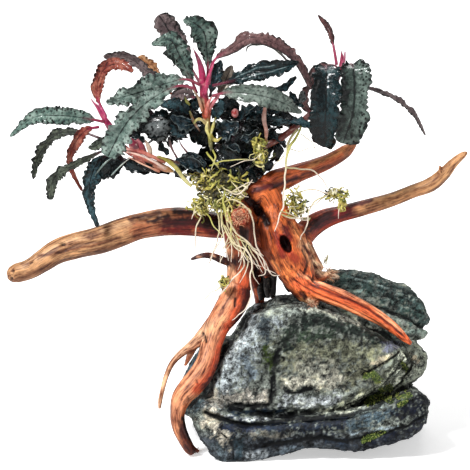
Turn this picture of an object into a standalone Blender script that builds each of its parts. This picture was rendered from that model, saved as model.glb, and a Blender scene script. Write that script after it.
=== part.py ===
"""A bucephalandra plant growing on a piece of branching driftwood that straddles a layered grey rock.

Metres, Z up, the front toward -Y, the middle of the rock's flat underside at the origin.
Every position is read off a front drawing: squares across, squares down, then millimetres back from the middle.
"""
from math import cos, exp, pi, radians, sin

import bmesh
import bpy
from mathutils import Matrix, Vector, noise

# The front drawing: the size of a square, how far above level it is seen from, and where its middle and floor lines lie.
SQUARE = 0.0006
VIEW_TILT = radians(12.0)
MIDDLE_ACROSS = 309.0
FLOOR_DOWN = 443.7
MM = 0.001

# Space left between touching pieces.
GAP = 0.0003

# Leaves: thickness of a blade, half the width of a leaf stalk, and how many rows a blade is drawn with.
BLADE_THICK = 0.0009
STALK_HALF = 0.0011
BLADE_ROWS = 7

# How much deeper the leaves reach toward the front and the back than their drawn depths.
LEAF_REACH = 2.0

# Rock: the grain it is shaped with, how rough its faces are, how many faces it keeps, and how its grooves wander:
# the size of the bends and how far they reach, in squares.
ROCK_GRAIN = 0.0013
ROCK_ROUGH = 0.0012
ROCK_FACES = 1880
GROOVE_BEND = 0.007
GROOVE_SWAY = 2.2

# Wood: the grain the trunk is shaped with and how many faces it keeps.
TRUNK_GRAIN = 0.0014
TRUNK_FACES = 600
WOOD_ROUGH = 0.0004

# Loose growth: the grain, the roughness and the size of the little heads.
TUFT_GRAIN = 0.0013
TUFT_ROUGH = 0.0010

UP_ON_SHEET = Vector((0.0, sin(VIEW_TILT), cos(VIEW_TILT)))
TO_VIEWER = Vector((0.0, -cos(VIEW_TILT), sin(VIEW_TILT)))
ACROSS = Vector((1.0, 0.0, 0.0))

for old in list(bpy.data.objects):
    bpy.data.objects.remove(old, do_unlink=True)
for old in list(bpy.data.collections):
    bpy.data.collections.remove(old)

part = bpy.data.collections.new("bucephalandra_on_driftwood")
bpy.context.scene.collection.children.link(part)


def at(across, down, back):
    """The point that is drawn at a place of the front drawing, a number of millimetres back from the middle."""
    x = (across - MIDDLE_ACROSS) * SQUARE
    y = back * MM
    z = ((FLOOR_DOWN - down) * SQUARE - y * sin(VIEW_TILT)) / cos(VIEW_TILT)
    return Vector((x, y, z))


def paint(name, color, roughness):
    """A plain material in the colour of the real thing."""
    material = bpy.data.materials.new(name)
    material.use_nodes = True
    shader = material.node_tree.nodes["Principled BSDF"]
    shader.inputs["Base Color"].default_value = (*color, 1.0)
    shader.inputs["Roughness"].default_value = roughness
    material.diffuse_color = (*color, 1.0)
    return material


def finish(obj, color, roughness):
    """Give a piece its own material and put it in the part."""
    obj.data.materials.clear()
    obj.data.materials.append(paint(obj.name, color, roughness))
    part.objects.link(obj)
    return obj


def settled(obj):
    """The object with its modifiers worked into the mesh and its seams merged."""
    bpy.context.scene.collection.objects.link(obj)
    bpy.context.view_layer.update()
    graph = bpy.context.evaluated_depsgraph_get()
    mesh = bpy.data.meshes.new_from_object(obj.evaluated_get(graph))
    mesh.transform(obj.matrix_world)
    name = obj.name
    bpy.data.objects.remove(obj, do_unlink=True)
    body = bmesh.new()
    body.from_mesh(mesh)
    bmesh.ops.remove_doubles(body, verts=body.verts, dist=0.00002)
    bmesh.ops.recalc_face_normals(body, faces=body.faces)
    body.to_mesh(mesh)
    body.free()
    mesh.name = name
    result = bpy.data.objects.new(name, mesh)
    return result


def tube(name, path, sides=2, steps=3, grow=0.0):
    """A round limb through points of the drawing, each with its half thickness in squares."""
    curve = bpy.data.curves.new(name, "CURVE")
    curve.dimensions = "3D"
    curve.bevel_depth = MM
    curve.bevel_resolution = sides
    curve.resolution_u = steps
    curve.use_fill_caps = True
    spline = curve.splines.new("BEZIER")
    spline.bezier_points.add(len(path) - 1)
    for point, (across, down, back, half) in zip(spline.bezier_points, path):
        point.co = at(across, down, back)
        point.handle_left_type = "AUTO"
        point.handle_right_type = "AUTO"
        point.radius = (half * SQUARE + grow) / MM
    return settled(bpy.data.objects.new(name, curve))


def weather(obj, amount, size, stretch=(1.0, 1.0, 1.0)):
    """Push the faces of a piece in and out a little, the same way every time."""
    outward = [vertex.normal.copy() for vertex in obj.data.vertices]
    for vertex, normal in zip(obj.data.vertices, outward):
        where = Vector(a / b for a, b in zip(vertex.co, stretch))
        vertex.co += normal * noise.noise(where / size) * amount
    return obj


def distance_to(place, line):
    """How far a place on the drawing lies from a line of points."""
    gaps = []
    for start, end in zip(line, line[1:]):
        run = Vector(end) - Vector(start)
        share = (place - Vector(start)).dot(run) / run.dot(run)
        gaps.append((place - Vector(start) - run * min(max(share, 0.0), 1.0)).length)
    return min(gaps)


def grooved(obj, grooves):
    """Cut grooves into the front of a piece. Each is a line on the drawing, a half width in squares and a depth in mm."""
    cuts = []
    for vertex in obj.data.vertices:
        facing = min(max(vertex.normal.dot(TO_VIEWER) * 2.5 + 0.4, 0.0), 1.0)
        spot = vertex.co
        across = spot.x / SQUARE + MIDDLE_ACROSS
        down = FLOOR_DOWN - (spot.z * cos(VIEW_TILT) + spot.y * sin(VIEW_TILT)) / SQUARE
        sway = [noise.noise(spot / GROOVE_BEND + Vector((seed, seed, seed))) * GROOVE_SWAY for seed in (3.0, 9.0)]
        place = Vector((across + sway[0], down + sway[1]))
        depths = [exp(-((distance_to(place, line) / half) ** 2)) * depth for line, half, depth in grooves]
        cuts.append(vertex.normal * max(depths) * facing * MM)
    for vertex, cut in zip(obj.data.vertices, cuts):
        if vertex.co.z > MM:
            vertex.co -= cut
    return obj


def joined(name, pieces):
    """One object made of the shells of several."""
    body = bmesh.new()
    for piece in pieces:
        body.from_mesh(piece.data)
        bpy.data.objects.remove(piece, do_unlink=True)
    mesh = bpy.data.meshes.new(name)
    body.to_mesh(mesh)
    body.free()
    return bpy.data.objects.new(name, mesh)


def fused(name, pieces, grain, smooth=4):
    """Several overlapping shells grown into a single skin."""
    lump = joined(name, pieces)
    remesh = lump.modifiers.new("one skin", "REMESH")
    remesh.mode = "VOXEL"
    remesh.voxel_size = grain
    soften = lump.modifiers.new("soften", "SMOOTH")
    soften.iterations = smooth
    soften.factor = 0.5
    return settled(lump)


def thinned(lump, faces):
    """The same skin with fewer faces."""
    triangles = sum(len(polygon.vertices) - 2 for polygon in lump.data.polygons)
    thin = lump.modifiers.new("fewer faces", "DECIMATE")
    thin.ratio = min(1.0, faces / triangles)
    return settled(lump)


def slab(outline, front, back, rounding):
    """A layer of rock with a drawn outline, from one depth to another, with rounded edges."""
    curve = bpy.data.curves.new("layer", "CURVE")
    curve.dimensions = "2D"
    curve.fill_mode = "BOTH"
    curve.extrude = (back - front) * MM / 2.0 - rounding * MM
    curve.bevel_depth = rounding * MM
    curve.bevel_resolution = 3
    curve.offset = -rounding * MM
    spline = curve.splines.new("POLY")
    spline.points.add(len(outline) - 1)
    spline.use_cyclic_u = True
    for point, (across, down) in zip(spline.points, outline):
        point.co = ((across - MIDDLE_ACROSS) * SQUARE, (FLOOR_DOWN - down) * SQUARE, 0.0, 1.0)
    obj = bpy.data.objects.new("layer", curve)
    turn = Matrix((ACROSS, UP_ON_SHEET, TO_VIEWER)).transposed().to_4x4()
    middle = -TO_VIEWER * (front + back) * MM / 2.0
    obj.matrix_world = Matrix.Translation(middle) @ turn
    return settled(obj)


def ball(across, down, back, wide, tall, deep):
    """A rounded lump with half sizes in squares across and up, and in millimetres through."""
    body = bmesh.new()
    bmesh.ops.create_icosphere(body, subdivisions=3, radius=1.0)
    for vertex in body.verts:
        side = vertex.co.x * wide * SQUARE
        rise = vertex.co.z * tall * SQUARE
        vertex.co = at(across, down, back) + ACROSS * side + UP_ON_SHEET * rise - TO_VIEWER * vertex.co.y * deep * MM
    mesh = bpy.data.meshes.new("lump")
    body.to_mesh(mesh)
    body.free()
    return bpy.data.objects.new("lump", mesh)


def carved(obj, cutter, way="DIFFERENCE"):
    """A piece with the shape of another taken out of it, or united with it."""
    bpy.context.scene.collection.objects.link(cutter)
    taken = obj.modifiers.new("carve", "BOOLEAN")
    taken.operation = way
    taken.solver = "EXACT"
    taken.object = cutter
    result = settled(obj)
    bpy.data.objects.remove(cutter, do_unlink=True)
    return result


def room_for(obj, margin):
    """A copy of a piece that is larger all round, to cut its place out of a neighbour."""
    room = bpy.data.objects.new(obj.name + "_room", obj.data.copy())
    outward = [vertex.normal.copy() for vertex in room.data.vertices]
    for vertex, normal in zip(room.data.vertices, outward):
        vertex.co += normal * margin
    return room


def leaf(name, path, wide, turn, fold, stalk):
    """A leaf on its stalk: a strip along points of the drawing, folded along the middle and given its thickness.

    The turn is how far the blade is rolled from facing the viewer, in degrees, and the width is in squares.
    """
    root = path[0][2]
    points = [at(across, down, root + (back - root) * LEAF_REACH) for across, down, back in path]
    spots = []
    for row in range(BLADE_ROWS + 1):
        along = row / BLADE_ROWS * (len(points) - 1)
        first = min(int(along), len(points) - 2)
        part_way = along - first
        before = points[max(first - 1, 0)]
        after = points[min(first + 2, len(points) - 1)]
        spots.append(smooth_between(before, points[first], points[first + 1], after, part_way))
    body = bmesh.new()
    rows = []
    for row, spot in enumerate(spots):
        share = row / BLADE_ROWS
        ahead = spots[min(row + 1, BLADE_ROWS)] - spots[max(row - 1, 0)]
        ahead.normalize()
        flat = ahead.cross(TO_VIEWER).normalized()
        facing = flat.cross(ahead).normalized()
        aside = flat * cos(radians(turn)) + facing * sin(radians(turn))
        raised = aside.cross(ahead).normalized()
        half = half_width(share, wide * SQUARE / 2.0, stalk)
        lift = raised * half * fold
        rows.append([body.verts.new(spot + aside * half * side + lift * abs(side)) for side in (-1.0, 0.0, 1.0)])
    for near, far in zip(rows, rows[1:]):
        for column in range(2):
            body.faces.new((near[column], near[column + 1], far[column + 1], far[column]))
    mesh = bpy.data.meshes.new(name)
    body.to_mesh(mesh)
    body.free()
    obj = bpy.data.objects.new(name, mesh)
    thick = obj.modifiers.new("blade thickness", "SOLIDIFY")
    thick.thickness = BLADE_THICK
    thick.offset = 0.0
    thick.use_even_offset = False
    return settled(obj)


def smooth_between(before, start, end, after, share):
    """A point part of the way along a smooth line through four points."""
    square = share * share
    cube = square * share
    line = start * 2.0 + (end - before) * share
    line += (before * 2.0 - start * 5.0 + end * 4.0 - after) * square
    line += (start * 3.0 - end * 3.0 + after - before) * cube
    return line * 0.5


def half_width(share, widest, stalk):
    """Half the width of a leaf at a share of its length: a narrow stalk, then a blade that swells and closes."""
    if share <= stalk:
        return STALK_HALF
    blade = (share - stalk) / (1.0 - stalk)
    swell = sin(pi * min(1.0, 0.10 + 0.84 * blade)) ** 0.55
    return max(widest * swell, STALK_HALF)


# Colours.
GREEN = (0.11, 0.20, 0.16)
DARK_GREEN = (0.02, 0.06, 0.06)
TAUPE = (0.16, 0.10, 0.10)
MAROON = (0.16, 0.05, 0.06)
BRICK = (0.40, 0.08, 0.04)
OLIVE = (0.10, 0.12, 0.07)
PINK = (0.50, 0.03, 0.12)
WOOD_TAN = (0.42, 0.22, 0.11)
WOOD_RED = (0.50, 0.15, 0.06)
MOSS = (0.30, 0.30, 0.05)
CREAM = (0.70, 0.62, 0.42)
ROCK = (0.16, 0.17, 0.16)

# Driftwood. The trunk has a left mass that runs down into the left leg and a right mass that folds over at the top
# and sweeps down in an S to rest on the rock.
LEFT_MASS = [
    (246, 196, -2, 8), (240, 213, -4, 13), (240, 235, -6, 16), (241, 260, -8, 14), (239, 280, -11, 13),
    (236, 292, -13, 13.5),
]
RIGHT_MASS = [
    (236, 216, 0, 10), (250, 200, 2, 12), (263, 192, 3, 13), (272, 205, 2, 13), (276, 222, -1, 18), (284, 243, -3, 23),
    (292, 262, -5, 21), (301, 281, -7, 16), (309, 295, -9, 11), (314, 303, -10, 6), (315, 308, -10, 2),
]
BRIDGE = [(236, 222, 2, 12), (252, 232, 4, 16), (268, 240, 4, 17), (286, 238, 4, 18), (300, 240, 4, 14)]
HEEL = [(292, 262, 0, 14), (308, 272, 3, 11), (320, 276, 5, 6), (331, 274, 6, 2)]

LEFT_LIMB = [
    (240, 226, 4, 12), (215, 225, 4, 13), (190, 222, 3, 14), (165, 222, 1, 14), (142, 226, -1, 13), (120, 233, -3, 14),
    (99, 240, -5, 14), (75, 246, -7, 13), (57, 252, -9, 12), (43, 261, -10, 11.5), (30, 269, -10, 10.5),
    (17, 273, -10, 10), (11, 274.5, -10, 8), (7.5, 275, -10, 4),
]
RIGHT_UPPER_LIMB = [
    (267, 187, 5, 11), (275, 182, 7.5, 12), (285, 178, 10, 11), (300, 172, 14, 9.5), (317, 166, 18, 8.5),
    (333, 159, 22, 7.5), (346, 151, 25, 6.5), (353, 145, 27, 4), (358, 139, 28, 1),
]
RIGHT_LOWER_LIMB = [
    (292, 246, 6, 12), (303, 235, 9, 12), (313, 226, 12, 11), (325, 219, 14, 10), (340, 214, 16, 8.5), (355, 210, 18, 8),
    (370, 206, 19, 7.5), (394, 199, 20, 7), (414, 191, 20, 7), (432, 184, 20, 7.5), (445, 173, 19, 6.5),
    (454, 163, 18, 5), (464, 154.5, 17, 3.5), (468, 152, 16.5, 1.5),
]
RIGHT_NUB = [(445, 176, 19, 4), (441, 169, 16.5, 2.6), (440, 165, 15.8, 1)]
LEFT_LEG = [
    (237, 286, -12, 13), (235, 297, -14, 15), (228, 310, -17, 14.5), (218, 325, -21, 12), (212, 342, -26, 10),
    (207, 362, -31, 11), (200, 375, -34, 12), (191, 386, -37, 11.5), (182, 397, -39, 10), (178, 411, -39, 7.5),
    (179, 425, -38, 7), (184, 438, -37, 6), (190, 449, -36, 5.5), (193, 453.5, -36, 3),
]
LEFT_TOE = [(186, 443, -36.4, 3.6), (194, 449, -35.2, 3.1), (199.5, 451, -34.6, 1.4)]
SIDE_ROOT = [
    (214, 322, -18, 8), (203, 336, -18, 7.5), (193, 345, -19, 5.5), (183, 352, -19, 4), (173, 362, -20, 3.2),
    (167, 374, -20, 2.7), (163, 388, -20, 2.4), (160, 402, -20, 2.3), (159.5, 409, -20, 1.4),
]
SIDE_SPUR = [(194, 346, -18, 4), (189, 357, -16, 3), (185, 366, -15, 1.4)]
RIGHT_LEG = [
    (303, 284, -9, 9), (320, 291, -12, 9.5), (340, 298, -14, 9), (357, 306, -15, 8.5), (372, 314, -15, 7.5),
    (385, 322, -14, 6.5), (398, 332, -13, 5), (406, 339.5, -12.5, 3.5), (411.5, 344, -12, 1.8),
]
BACK_ROOT = [(252, 268, 4, 7), (256, 280, 9, 6.5), (259, 292, 15, 6), (260, 303, 20, 5)]
THIN_BACK_ROOT = [(270, 270, 8, 3.5), (271, 283, 14, 2.6), (272, 298, 20, 2.2)]
TWIG = [(234, 264, -8, 4), (222, 260, -14, 4), (210, 255.5, -17, 3.4), (200, 256, -18, 2.6), (191, 259.5, -18, 1.6)]
STUB = [(243, 222, -8, 8), (240, 218, -16, 8.5), (239, 216.5, -21, 9), (239, 216, -23, 7)]
WEB = [(247, 203, 3, 8), (251, 216, 4, 10), (252, 231, 5, 12), (257, 247, 5, 12), (263, 262, 3, 10), (272, 274, 0, 8)]
HOLLOW = (285, 244, -17, 6.5, 11, 9)
LIMBS = {
    "driftwood_left_limb": ([LEFT_LIMB], WOOD_TAN, 2, 1),
    "driftwood_right_upper_limb": ([RIGHT_UPPER_LIMB], WOOD_RED, 2, 1),
    "driftwood_right_lower_limb": ([RIGHT_LOWER_LIMB, RIGHT_NUB], WOOD_TAN, 2, 1),
    "driftwood_left_leg": ([LEFT_LEG, LEFT_TOE], WOOD_RED, 2, 1),
    "driftwood_left_side_root": ([SIDE_ROOT, SIDE_SPUR], WOOD_RED, 1, 1),
    "driftwood_right_leg": ([RIGHT_LEG], WOOD_RED, 2, 2),
    "driftwood_back_root": ([BACK_ROOT], WOOD_RED, 2, 1),
    "driftwood_thin_back_root": ([THIN_BACK_ROOT], WOOD_RED, 1, 1),
    "driftwood_left_twig": ([TWIG], WOOD_RED, 1, 2),
    "driftwood_stub": ([STUB], WOOD_RED, 2, 1),
}


def whole(name, branches, sides, steps):
    """The main limb with each side branch united to it."""
    main = tube(name, branches[0], sides, steps)
    for branch in branches[1:]:
        main = carved(main, tube("branch", branch, sides, steps), "UNION")
    return main


shells = [tube("shell", branch, 4, 4) for branch in (LEFT_MASS, RIGHT_MASS, BRIDGE, HEEL, WEB)]
trunk = fused("driftwood_trunk", shells, TRUNK_GRAIN, 4)
weather(trunk, WOOD_ROUGH * 2.0, 0.006, (1.0, 1.0, 3.0))
trunk = thinned(trunk, TRUNK_FACES)
wood = {"driftwood_trunk": trunk}
trunk_room = room_for(trunk, GAP * 1.7)

for name, (branches, color, sides, steps) in LIMBS.items():
    piece = whole(name, branches, sides, steps)
    weather(piece, WOOD_ROUGH, 0.008, (3.0, 1.0, 1.0))
    wood[name] = carved(piece, trunk_room.copy())
wood["driftwood_left_side_root"] = carved(
    wood["driftwood_left_side_root"], room_for(wood["driftwood_left_leg"], GAP * 1.7)
)
wood["driftwood_trunk"] = carved(trunk, ball(*HOLLOW))

# The rock, layer by layer: an outline on the front drawing, its front and back depths and the rounding of its edges.
BOULDER = [
    (205, 400), (212, 382), (220, 366), (228, 350), (238, 336), (247, 321), (254, 314), (266, 308), (280, 303),
    (297, 301), (315, 306), (335, 313), (355, 321), (375, 332), (392, 344), (402, 352), (400, 364), (388, 377),
    (372, 390), (352, 403), (330, 410), (300, 412), (270, 414), (245, 415), (225, 412), (210, 408),
]
BOULDER_RIGHT = [
    (330, 318), (358, 322), (380, 336), (400, 349), (408, 358), (402, 368), (392, 378), (378, 390), (360, 402),
    (338, 409), (300, 412), (300, 350),
]
TOP_LAYER = [
    (258, 320), (268, 303), (277, 297), (295, 296), (310, 298), (330, 306), (350, 318), (350, 400), (250, 400),
]
DARK_LAYER = [
    (221, 366), (226, 350), (233, 335), (241, 322), (248, 312), (256, 304), (264, 302), (276, 308), (276, 400), (221, 400),
]
BACK_SLAB = [
    (318, 290), (331, 271), (354, 272), (376, 276), (389, 281), (397, 285), (407, 286), (415, 293), (425, 305),
    (427, 312), (432, 320), (431, 326), (422, 329), (400, 333), (370, 330), (335, 318),
]
BACK_LEDGE = [
    (300, 305), (340, 300), (380, 310), (410, 322), (429, 333), (426, 338), (416, 341), (398, 347), (370, 350),
    (300, 350),
]
RIGHT_LAYER = [
    (340, 330), (380, 340), (414, 341), (423, 348), (428, 358), (427, 370), (421, 378), (413, 384), (396, 392),
    (370, 402), (340, 405),
]
FOOT_SLAB = [
    (189, 409), (199, 395), (215, 399), (240, 412), (270, 417), (300, 414), (345, 410), (370, 404), (392, 395),
    (411, 386), (422, 394), (429, 401), (425, 409), (426, 418), (420, 429), (407, 438), (389, 443), (367, 449),
    (354, 450), (336, 447), (309, 446), (296, 449), (269, 457), (243, 461), (225, 463), (215, 456), (203, 443),
    (195, 424),
]
LEFT_SHOULDER = [
    (171, 407), (175, 395), (184, 379), (192, 362), (203, 345), (225, 338), (250, 350), (260, 400), (240, 425),
    (196, 420),
]
ROCK_LAYERS = [
    (BOULDER, -44, 20, 9),
    (BOULDER_RIGHT, -34, 30, 6),
    (TOP_LAYER, -28, 36, 4),
    (DARK_LAYER, -7, 34, 4),
    (BACK_SLAB, 2, 52, 6),
    (BACK_LEDGE, -6, 48, 3),
    (RIGHT_LAYER, -20, 50, 6),
    (FOOT_SLAB, -50, 46, 5),
    (LEFT_SHOULDER, -17, 30, 5),
]

# Grooves between the layers of the rock, and the cracks in its front.
GROOVES = [
    ([(206, 411), (222, 418), (240, 423), (262, 423), (290, 418), (320, 417), (345, 414), (363, 410), (388, 399),
      (412, 387)], 3.2, 4.5),
    ([(236, 405), (252, 405), (269, 404)], 1.8, 2.2),
    ([(280, 346), (274, 360), (273, 380)], 4.5, 1.6),
    ([(273, 376), (272, 388), (271, 402)], 1.5, 2.0),
    ([(286, 390), (298, 391), (312, 388)], 1.4, 1.6),
    ([(398, 352), (386, 361), (373, 368), (361, 374)], 1.6, 1.8),
    ([(404, 356), (395, 371), (381, 386), (364, 397), (346, 405)], 1.5, 1.8),
    ([(413, 364), (403, 381), (387, 395), (369, 405)], 1.5, 1.8),
    ([(362, 326), (376, 331), (390, 337), (400, 345)], 1.8, 1.6),
    ([(345, 440), (368, 433), (388, 430), (408, 424), (424, 414)], 1.6, 1.6),
    ([(262, 444), (290, 440), (318, 436), (345, 441)], 2.6, 1.6),
]
shells = [slab(outline, front, back, rounding) for outline, front, back, rounding in ROCK_LAYERS]
rock = fused("stone", shells, ROCK_GRAIN, 3)
weather(rock, ROCK_ROUGH, 0.011, (1.6, 1.6, 0.7))
grooved(rock, GROOVES)
rock = thinned(rock, ROCK_FACES)
box = bmesh.new()
bmesh.ops.create_cube(box, size=0.4, matrix=Matrix.Translation((0.0, 0.0, -0.2)))
floor_mesh = bpy.data.meshes.new("floor_cut")
box.to_mesh(floor_mesh)
box.free()
rock = carved(rock, bpy.data.objects.new("floor_cut", floor_mesh))
for name in ("driftwood_trunk", "driftwood_left_leg", "driftwood_right_leg", "driftwood_back_root",
             "driftwood_thin_back_root", "driftwood_left_side_root"):
    rock = carved(rock, room_for(wood[name], GAP * 1.7))
finish(rock, ROCK, 0.6)

# Shoots: the creeping stems of the plant, each with the bud that it ends in.
TOP_SHOOT = [
    (212, 152, -4, 4.5), (209, 135, -5, 5), (207, 118, -6, 5.5), (205, 102, -6, 5), (203.5, 88, -6, 4.2),
    (202, 74, -6, 4), (199, 62, -6.5, 2.6), (193, 49, -7, 0.6),
]
TOP_SHEATHS = [
    [(208, 112, -8, 3), (213, 104, -11, 2.6), (217, 97, -12, 0.8)],
    [(206, 118, -9, 3), (208, 106, -12, 2.4), (212, 98, -13, 0.8)],
]
LEFT_SHOOT = [
    (192, 186, -13, 2.2), (181, 177, -13, 3), (168, 170, -12, 4.4), (152, 163, -11, 4.6), (138, 157, -11, 4.8),
    (126, 149, -11, 5), (116, 137, -11, 4.5), (109, 125, -11, 3.6), (101, 112, -11, 2.4), (92, 100, -11, 0.6),
]
LEFT_SHEATHS = [
    [(136, 152, -13, 4), (136, 145, -14, 5), (132, 140, -14, 3)],
    [(150, 160, -12, 3.5), (142, 150, -14, 2.8), (136, 143, -15, 1)],
]
RIGHT_SHOOT = [
    (258, 148, -1, 3.6), (270, 144, -1, 3.8), (287, 134, -1, 4), (299, 124, -1, 4), (311, 114, -2, 3.6),
    (324, 98, -4, 3.2), (335, 82, -5, 3), (340, 70, -5, 2.8), (341, 60, -5, 2), (340, 52, -5, 0.5),
]

SHOOTS = {
    "top_shoot": ([TOP_SHOOT] + TOP_SHEATHS, PINK, 1, 1),
    "left_shoot": ([LEFT_SHOOT] + LEFT_SHEATHS, BRICK, 1, 1),
    "right_shoot": ([RIGHT_SHOOT], MAROON, 1, 1),
}

# Leaves of the top crown, the left crown and the right crown. Each is a path, a width in squares, a turn in degrees,
# the fold of the blade, the share of the length that is stalk, and a color.
LEAVES = {
    "leaf_top_back": (
        [(203, 89, 3), (192, 73, 7), (180, 54, 11), (170, 34, 14), (160, 13, 15)],
        20, 0, 0.12, 0.3, TAUPE,
    ),
    "leaf_top_left": (
        [(197, 94, 0), (188, 77, -1), (179, 57, -5), (171, 43, -9), (154, 48, -13)],
        25, 10, 0.15, 0.15, GREEN,
    ),
    "leaf_top_right": (
        [(207, 88, -3), (209, 68, -1), (210, 48, 0), (203, 29, -3), (184, 22, -8)],
        26, -5, 0.15, 0.2, GREEN,
    ),
    "leaf_arching": (
        [(209, 86, -8), (213, 64, -8), (229, 52, -9), (252, 40, -11), (279, 48, -10), (298, 64, -8), (311, 90, -4)],
        15, 50, 0.1, 0.22, MAROON,
    ),
    "leaf_dark_gloss": (
        [(213, 87, -11), (235, 82, -14), (255, 74, -15), (277, 70, -15), (298, 64, -13)],
        19, 10, 0.2, 0.12, DARK_GREEN,
    ),
    "leaf_sage": (
        [(213, 97, -13), (232, 94, -18), (262, 98, -21), (283, 105, -19), (301, 114, -14)],
        16, 5, 0.15, 0.1, GREEN,
    ),
    "leaf_behind_shoot": (
        [(210, 98, 3), (213, 84, 4), (217, 72, 5), (221, 61, 6)],
        14, 0, 0.1, 0.1, DARK_GREEN,
    ),
    "leaf_small_brown": ([(216, 98, 9), (223, 86, 10), (228, 75, 11), (234, 64, 12)], 11, 0, 0.1, 0.1, OLIVE),
    "leaf_small_left": ([(196, 100, 3), (189, 95, 3), (181, 94, 4), (171, 99, 5)], 16, 0, 0.1, 0.1, TAUPE),
    "leaf_big_left": (
        [(200, 86, -9), (186, 81, -11), (168, 85, -14), (148, 92, -17), (128, 98, -18), (108, 104, -17)],
        23, 10, 0.12, 0.2, GREEN,
    ),
    "leaf_big_front": (
        [(196, 90, -13), (178, 88, -17), (156, 99, -23), (137, 115, -27), (122, 135, -29), (110, 158, -27)],
        24, 10, 0.12, 0.2, GREEN,
    ),
    "leaf_left_long": (
        [(106, 123, -15), (84, 119, -17), (60, 117, -19), (36, 119, -19), (12, 137, -14)],
        17, 5, 0.15, 0.1, GREEN,
    ),
    "leaf_left_edge": (
        [(112, 143, -7), (79, 132, -3), (54, 136, 1), (38, 156, 3), (33, 179, 1)],
        11, 55, 0.1, 0.15, TAUPE,
    ),
    "leaf_left_red": (
        [(100, 128, -17), (87, 132, -19), (74, 149, -20), (72, 168, -18), (83, 191, -15)],
        12, 25, 0.1, 0.1, BRICK,
    ),
    "leaf_left_olive": (
        [(113, 148, -16), (93, 157, -21), (72, 168, -24), (56, 179, -24), (52, 200, -22)],
        11, 25, 0.1, 0.12, OLIVE,
    ),
    "leaf_left_hanging": (
        [(113, 153, -8), (99, 163, -10), (91, 182, -12), (91, 204, -14), (99, 227, -15)],
        13, 20, 0.1, 0.1, DARK_GREEN,
    ),
    "leaf_left_curl": (
        [(107, 118, -7), (98, 96, -4), (103, 73, -3), (118, 65, -4), (134, 73, -7)],
        13, 15, 0.1, 0.15, BRICK,
    ),
    "leaf_back_taupe": (
        [(198, 99, 9), (172, 88, 10), (148, 72, 11), (128, 58, 11), (104, 57, 10)],
        12, 20, 0.1, 0.3, TAUPE,
    ),
    "leaf_back_orange": (
        [(194, 104, 16), (172, 94, 18), (158, 80, 19), (149, 66, 20), (137, 58, 21)],
        11, 10, 0.1, 0.3, BRICK,
    ),
    "leaf_left_tan": (
        [(113, 138, -17), (105, 142, -20), (97, 147, -21), (88, 150, -21)],
        9, 10, 0.1, 0.1, OLIVE,
    ),
    "leaf_left_under": (
        [(122, 158, -6), (112, 163, -5), (102, 170, -5), (94, 180, -4)],
        20, 0, 0.1, 0.1, DARK_GREEN,
    ),
    "leaf_right_upright": (
        [(336, 66, 0), (333, 48, 2), (329, 31, 4), (318, 16, 8)],
        9, 40, 0.1, 0.35, MAROON,
    ),
    "leaf_right_droop_left": (
        [(336, 72, -9), (327, 75, -14), (325, 97, -20), (324, 122, -21), (324, 148, -17)],
        25, -10, 0.15, 0.12, DARK_GREEN,
    ),
    "leaf_right_droop_right": (
        [(343, 71, -9), (353, 73, -13), (355, 94, -17), (353, 118, -17), (344, 144, -13)],
        31, 10, 0.15, 0.12, OLIVE,
    ),
    "leaf_right_back": ([(336, 76, 0), (326, 71, 3), (316, 76, 5), (308, 90, 5)], 16, 0, 0.1, 0.1, TAUPE),
    "leaf_right_thin": (
        [(343, 76, -2), (368, 89, -4), (392, 98, -3), (412, 113, 0), (425, 135, 4)],
        8, 45, 0.1, 0.15, TAUPE,
    ),
    "leaf_right_small": ([(317, 117, 8), (306, 108, 9), (304, 96, 10), (310, 83, 12)], 9, 10, 0.1, 0.1, PINK),
}

for name, (branches, color, sides, steps) in SHOOTS.items():
    SHOOTS[name] = (whole(name, branches, sides, steps), color)
blades = {}
for name, (path, wide, turn, fold, stalk, color) in LEAVES.items():
    blades[name] = (leaf(name, path, wide, turn, fold, stalk), color)

# Small crowded leaves in the heart of the plant, as one lumpy mass.
HEART = [
    (250, 127, 12, 22, 16, 10), (266, 140, 12, 17, 15, 10), (240, 150, 12, 18, 18, 11), (277, 113, 13, 13, 12, 8),
    (228, 136, 12, 13, 18, 10), (180, 116, 10, 15, 10, 8), (192, 124, 11, 12, 12, 8), (167, 131, 8, 15, 8, 6),
    (204, 132, 12, 11, 13, 8), (192, 164, 8, 18, 8, 8), (216, 155, 12, 16, 14, 10), (250, 165, 12, 16, 12, 9),
    (238, 178, 7, 17, 15, 9), (222, 172, 8, 16, 12, 9),
]
heart = fused("small_leaves", [ball(*spot) for spot in HEART], TUFT_GRAIN, 2)
weather(heart, TUFT_ROUGH * 1.4, 0.004)
heart = thinned(heart, 440)
for neighbor in ("driftwood_trunk", "driftwood_right_upper_limb", "driftwood_left_limb"):
    heart = carved(heart, room_for(wood[neighbor], GAP * 1.7))

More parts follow.
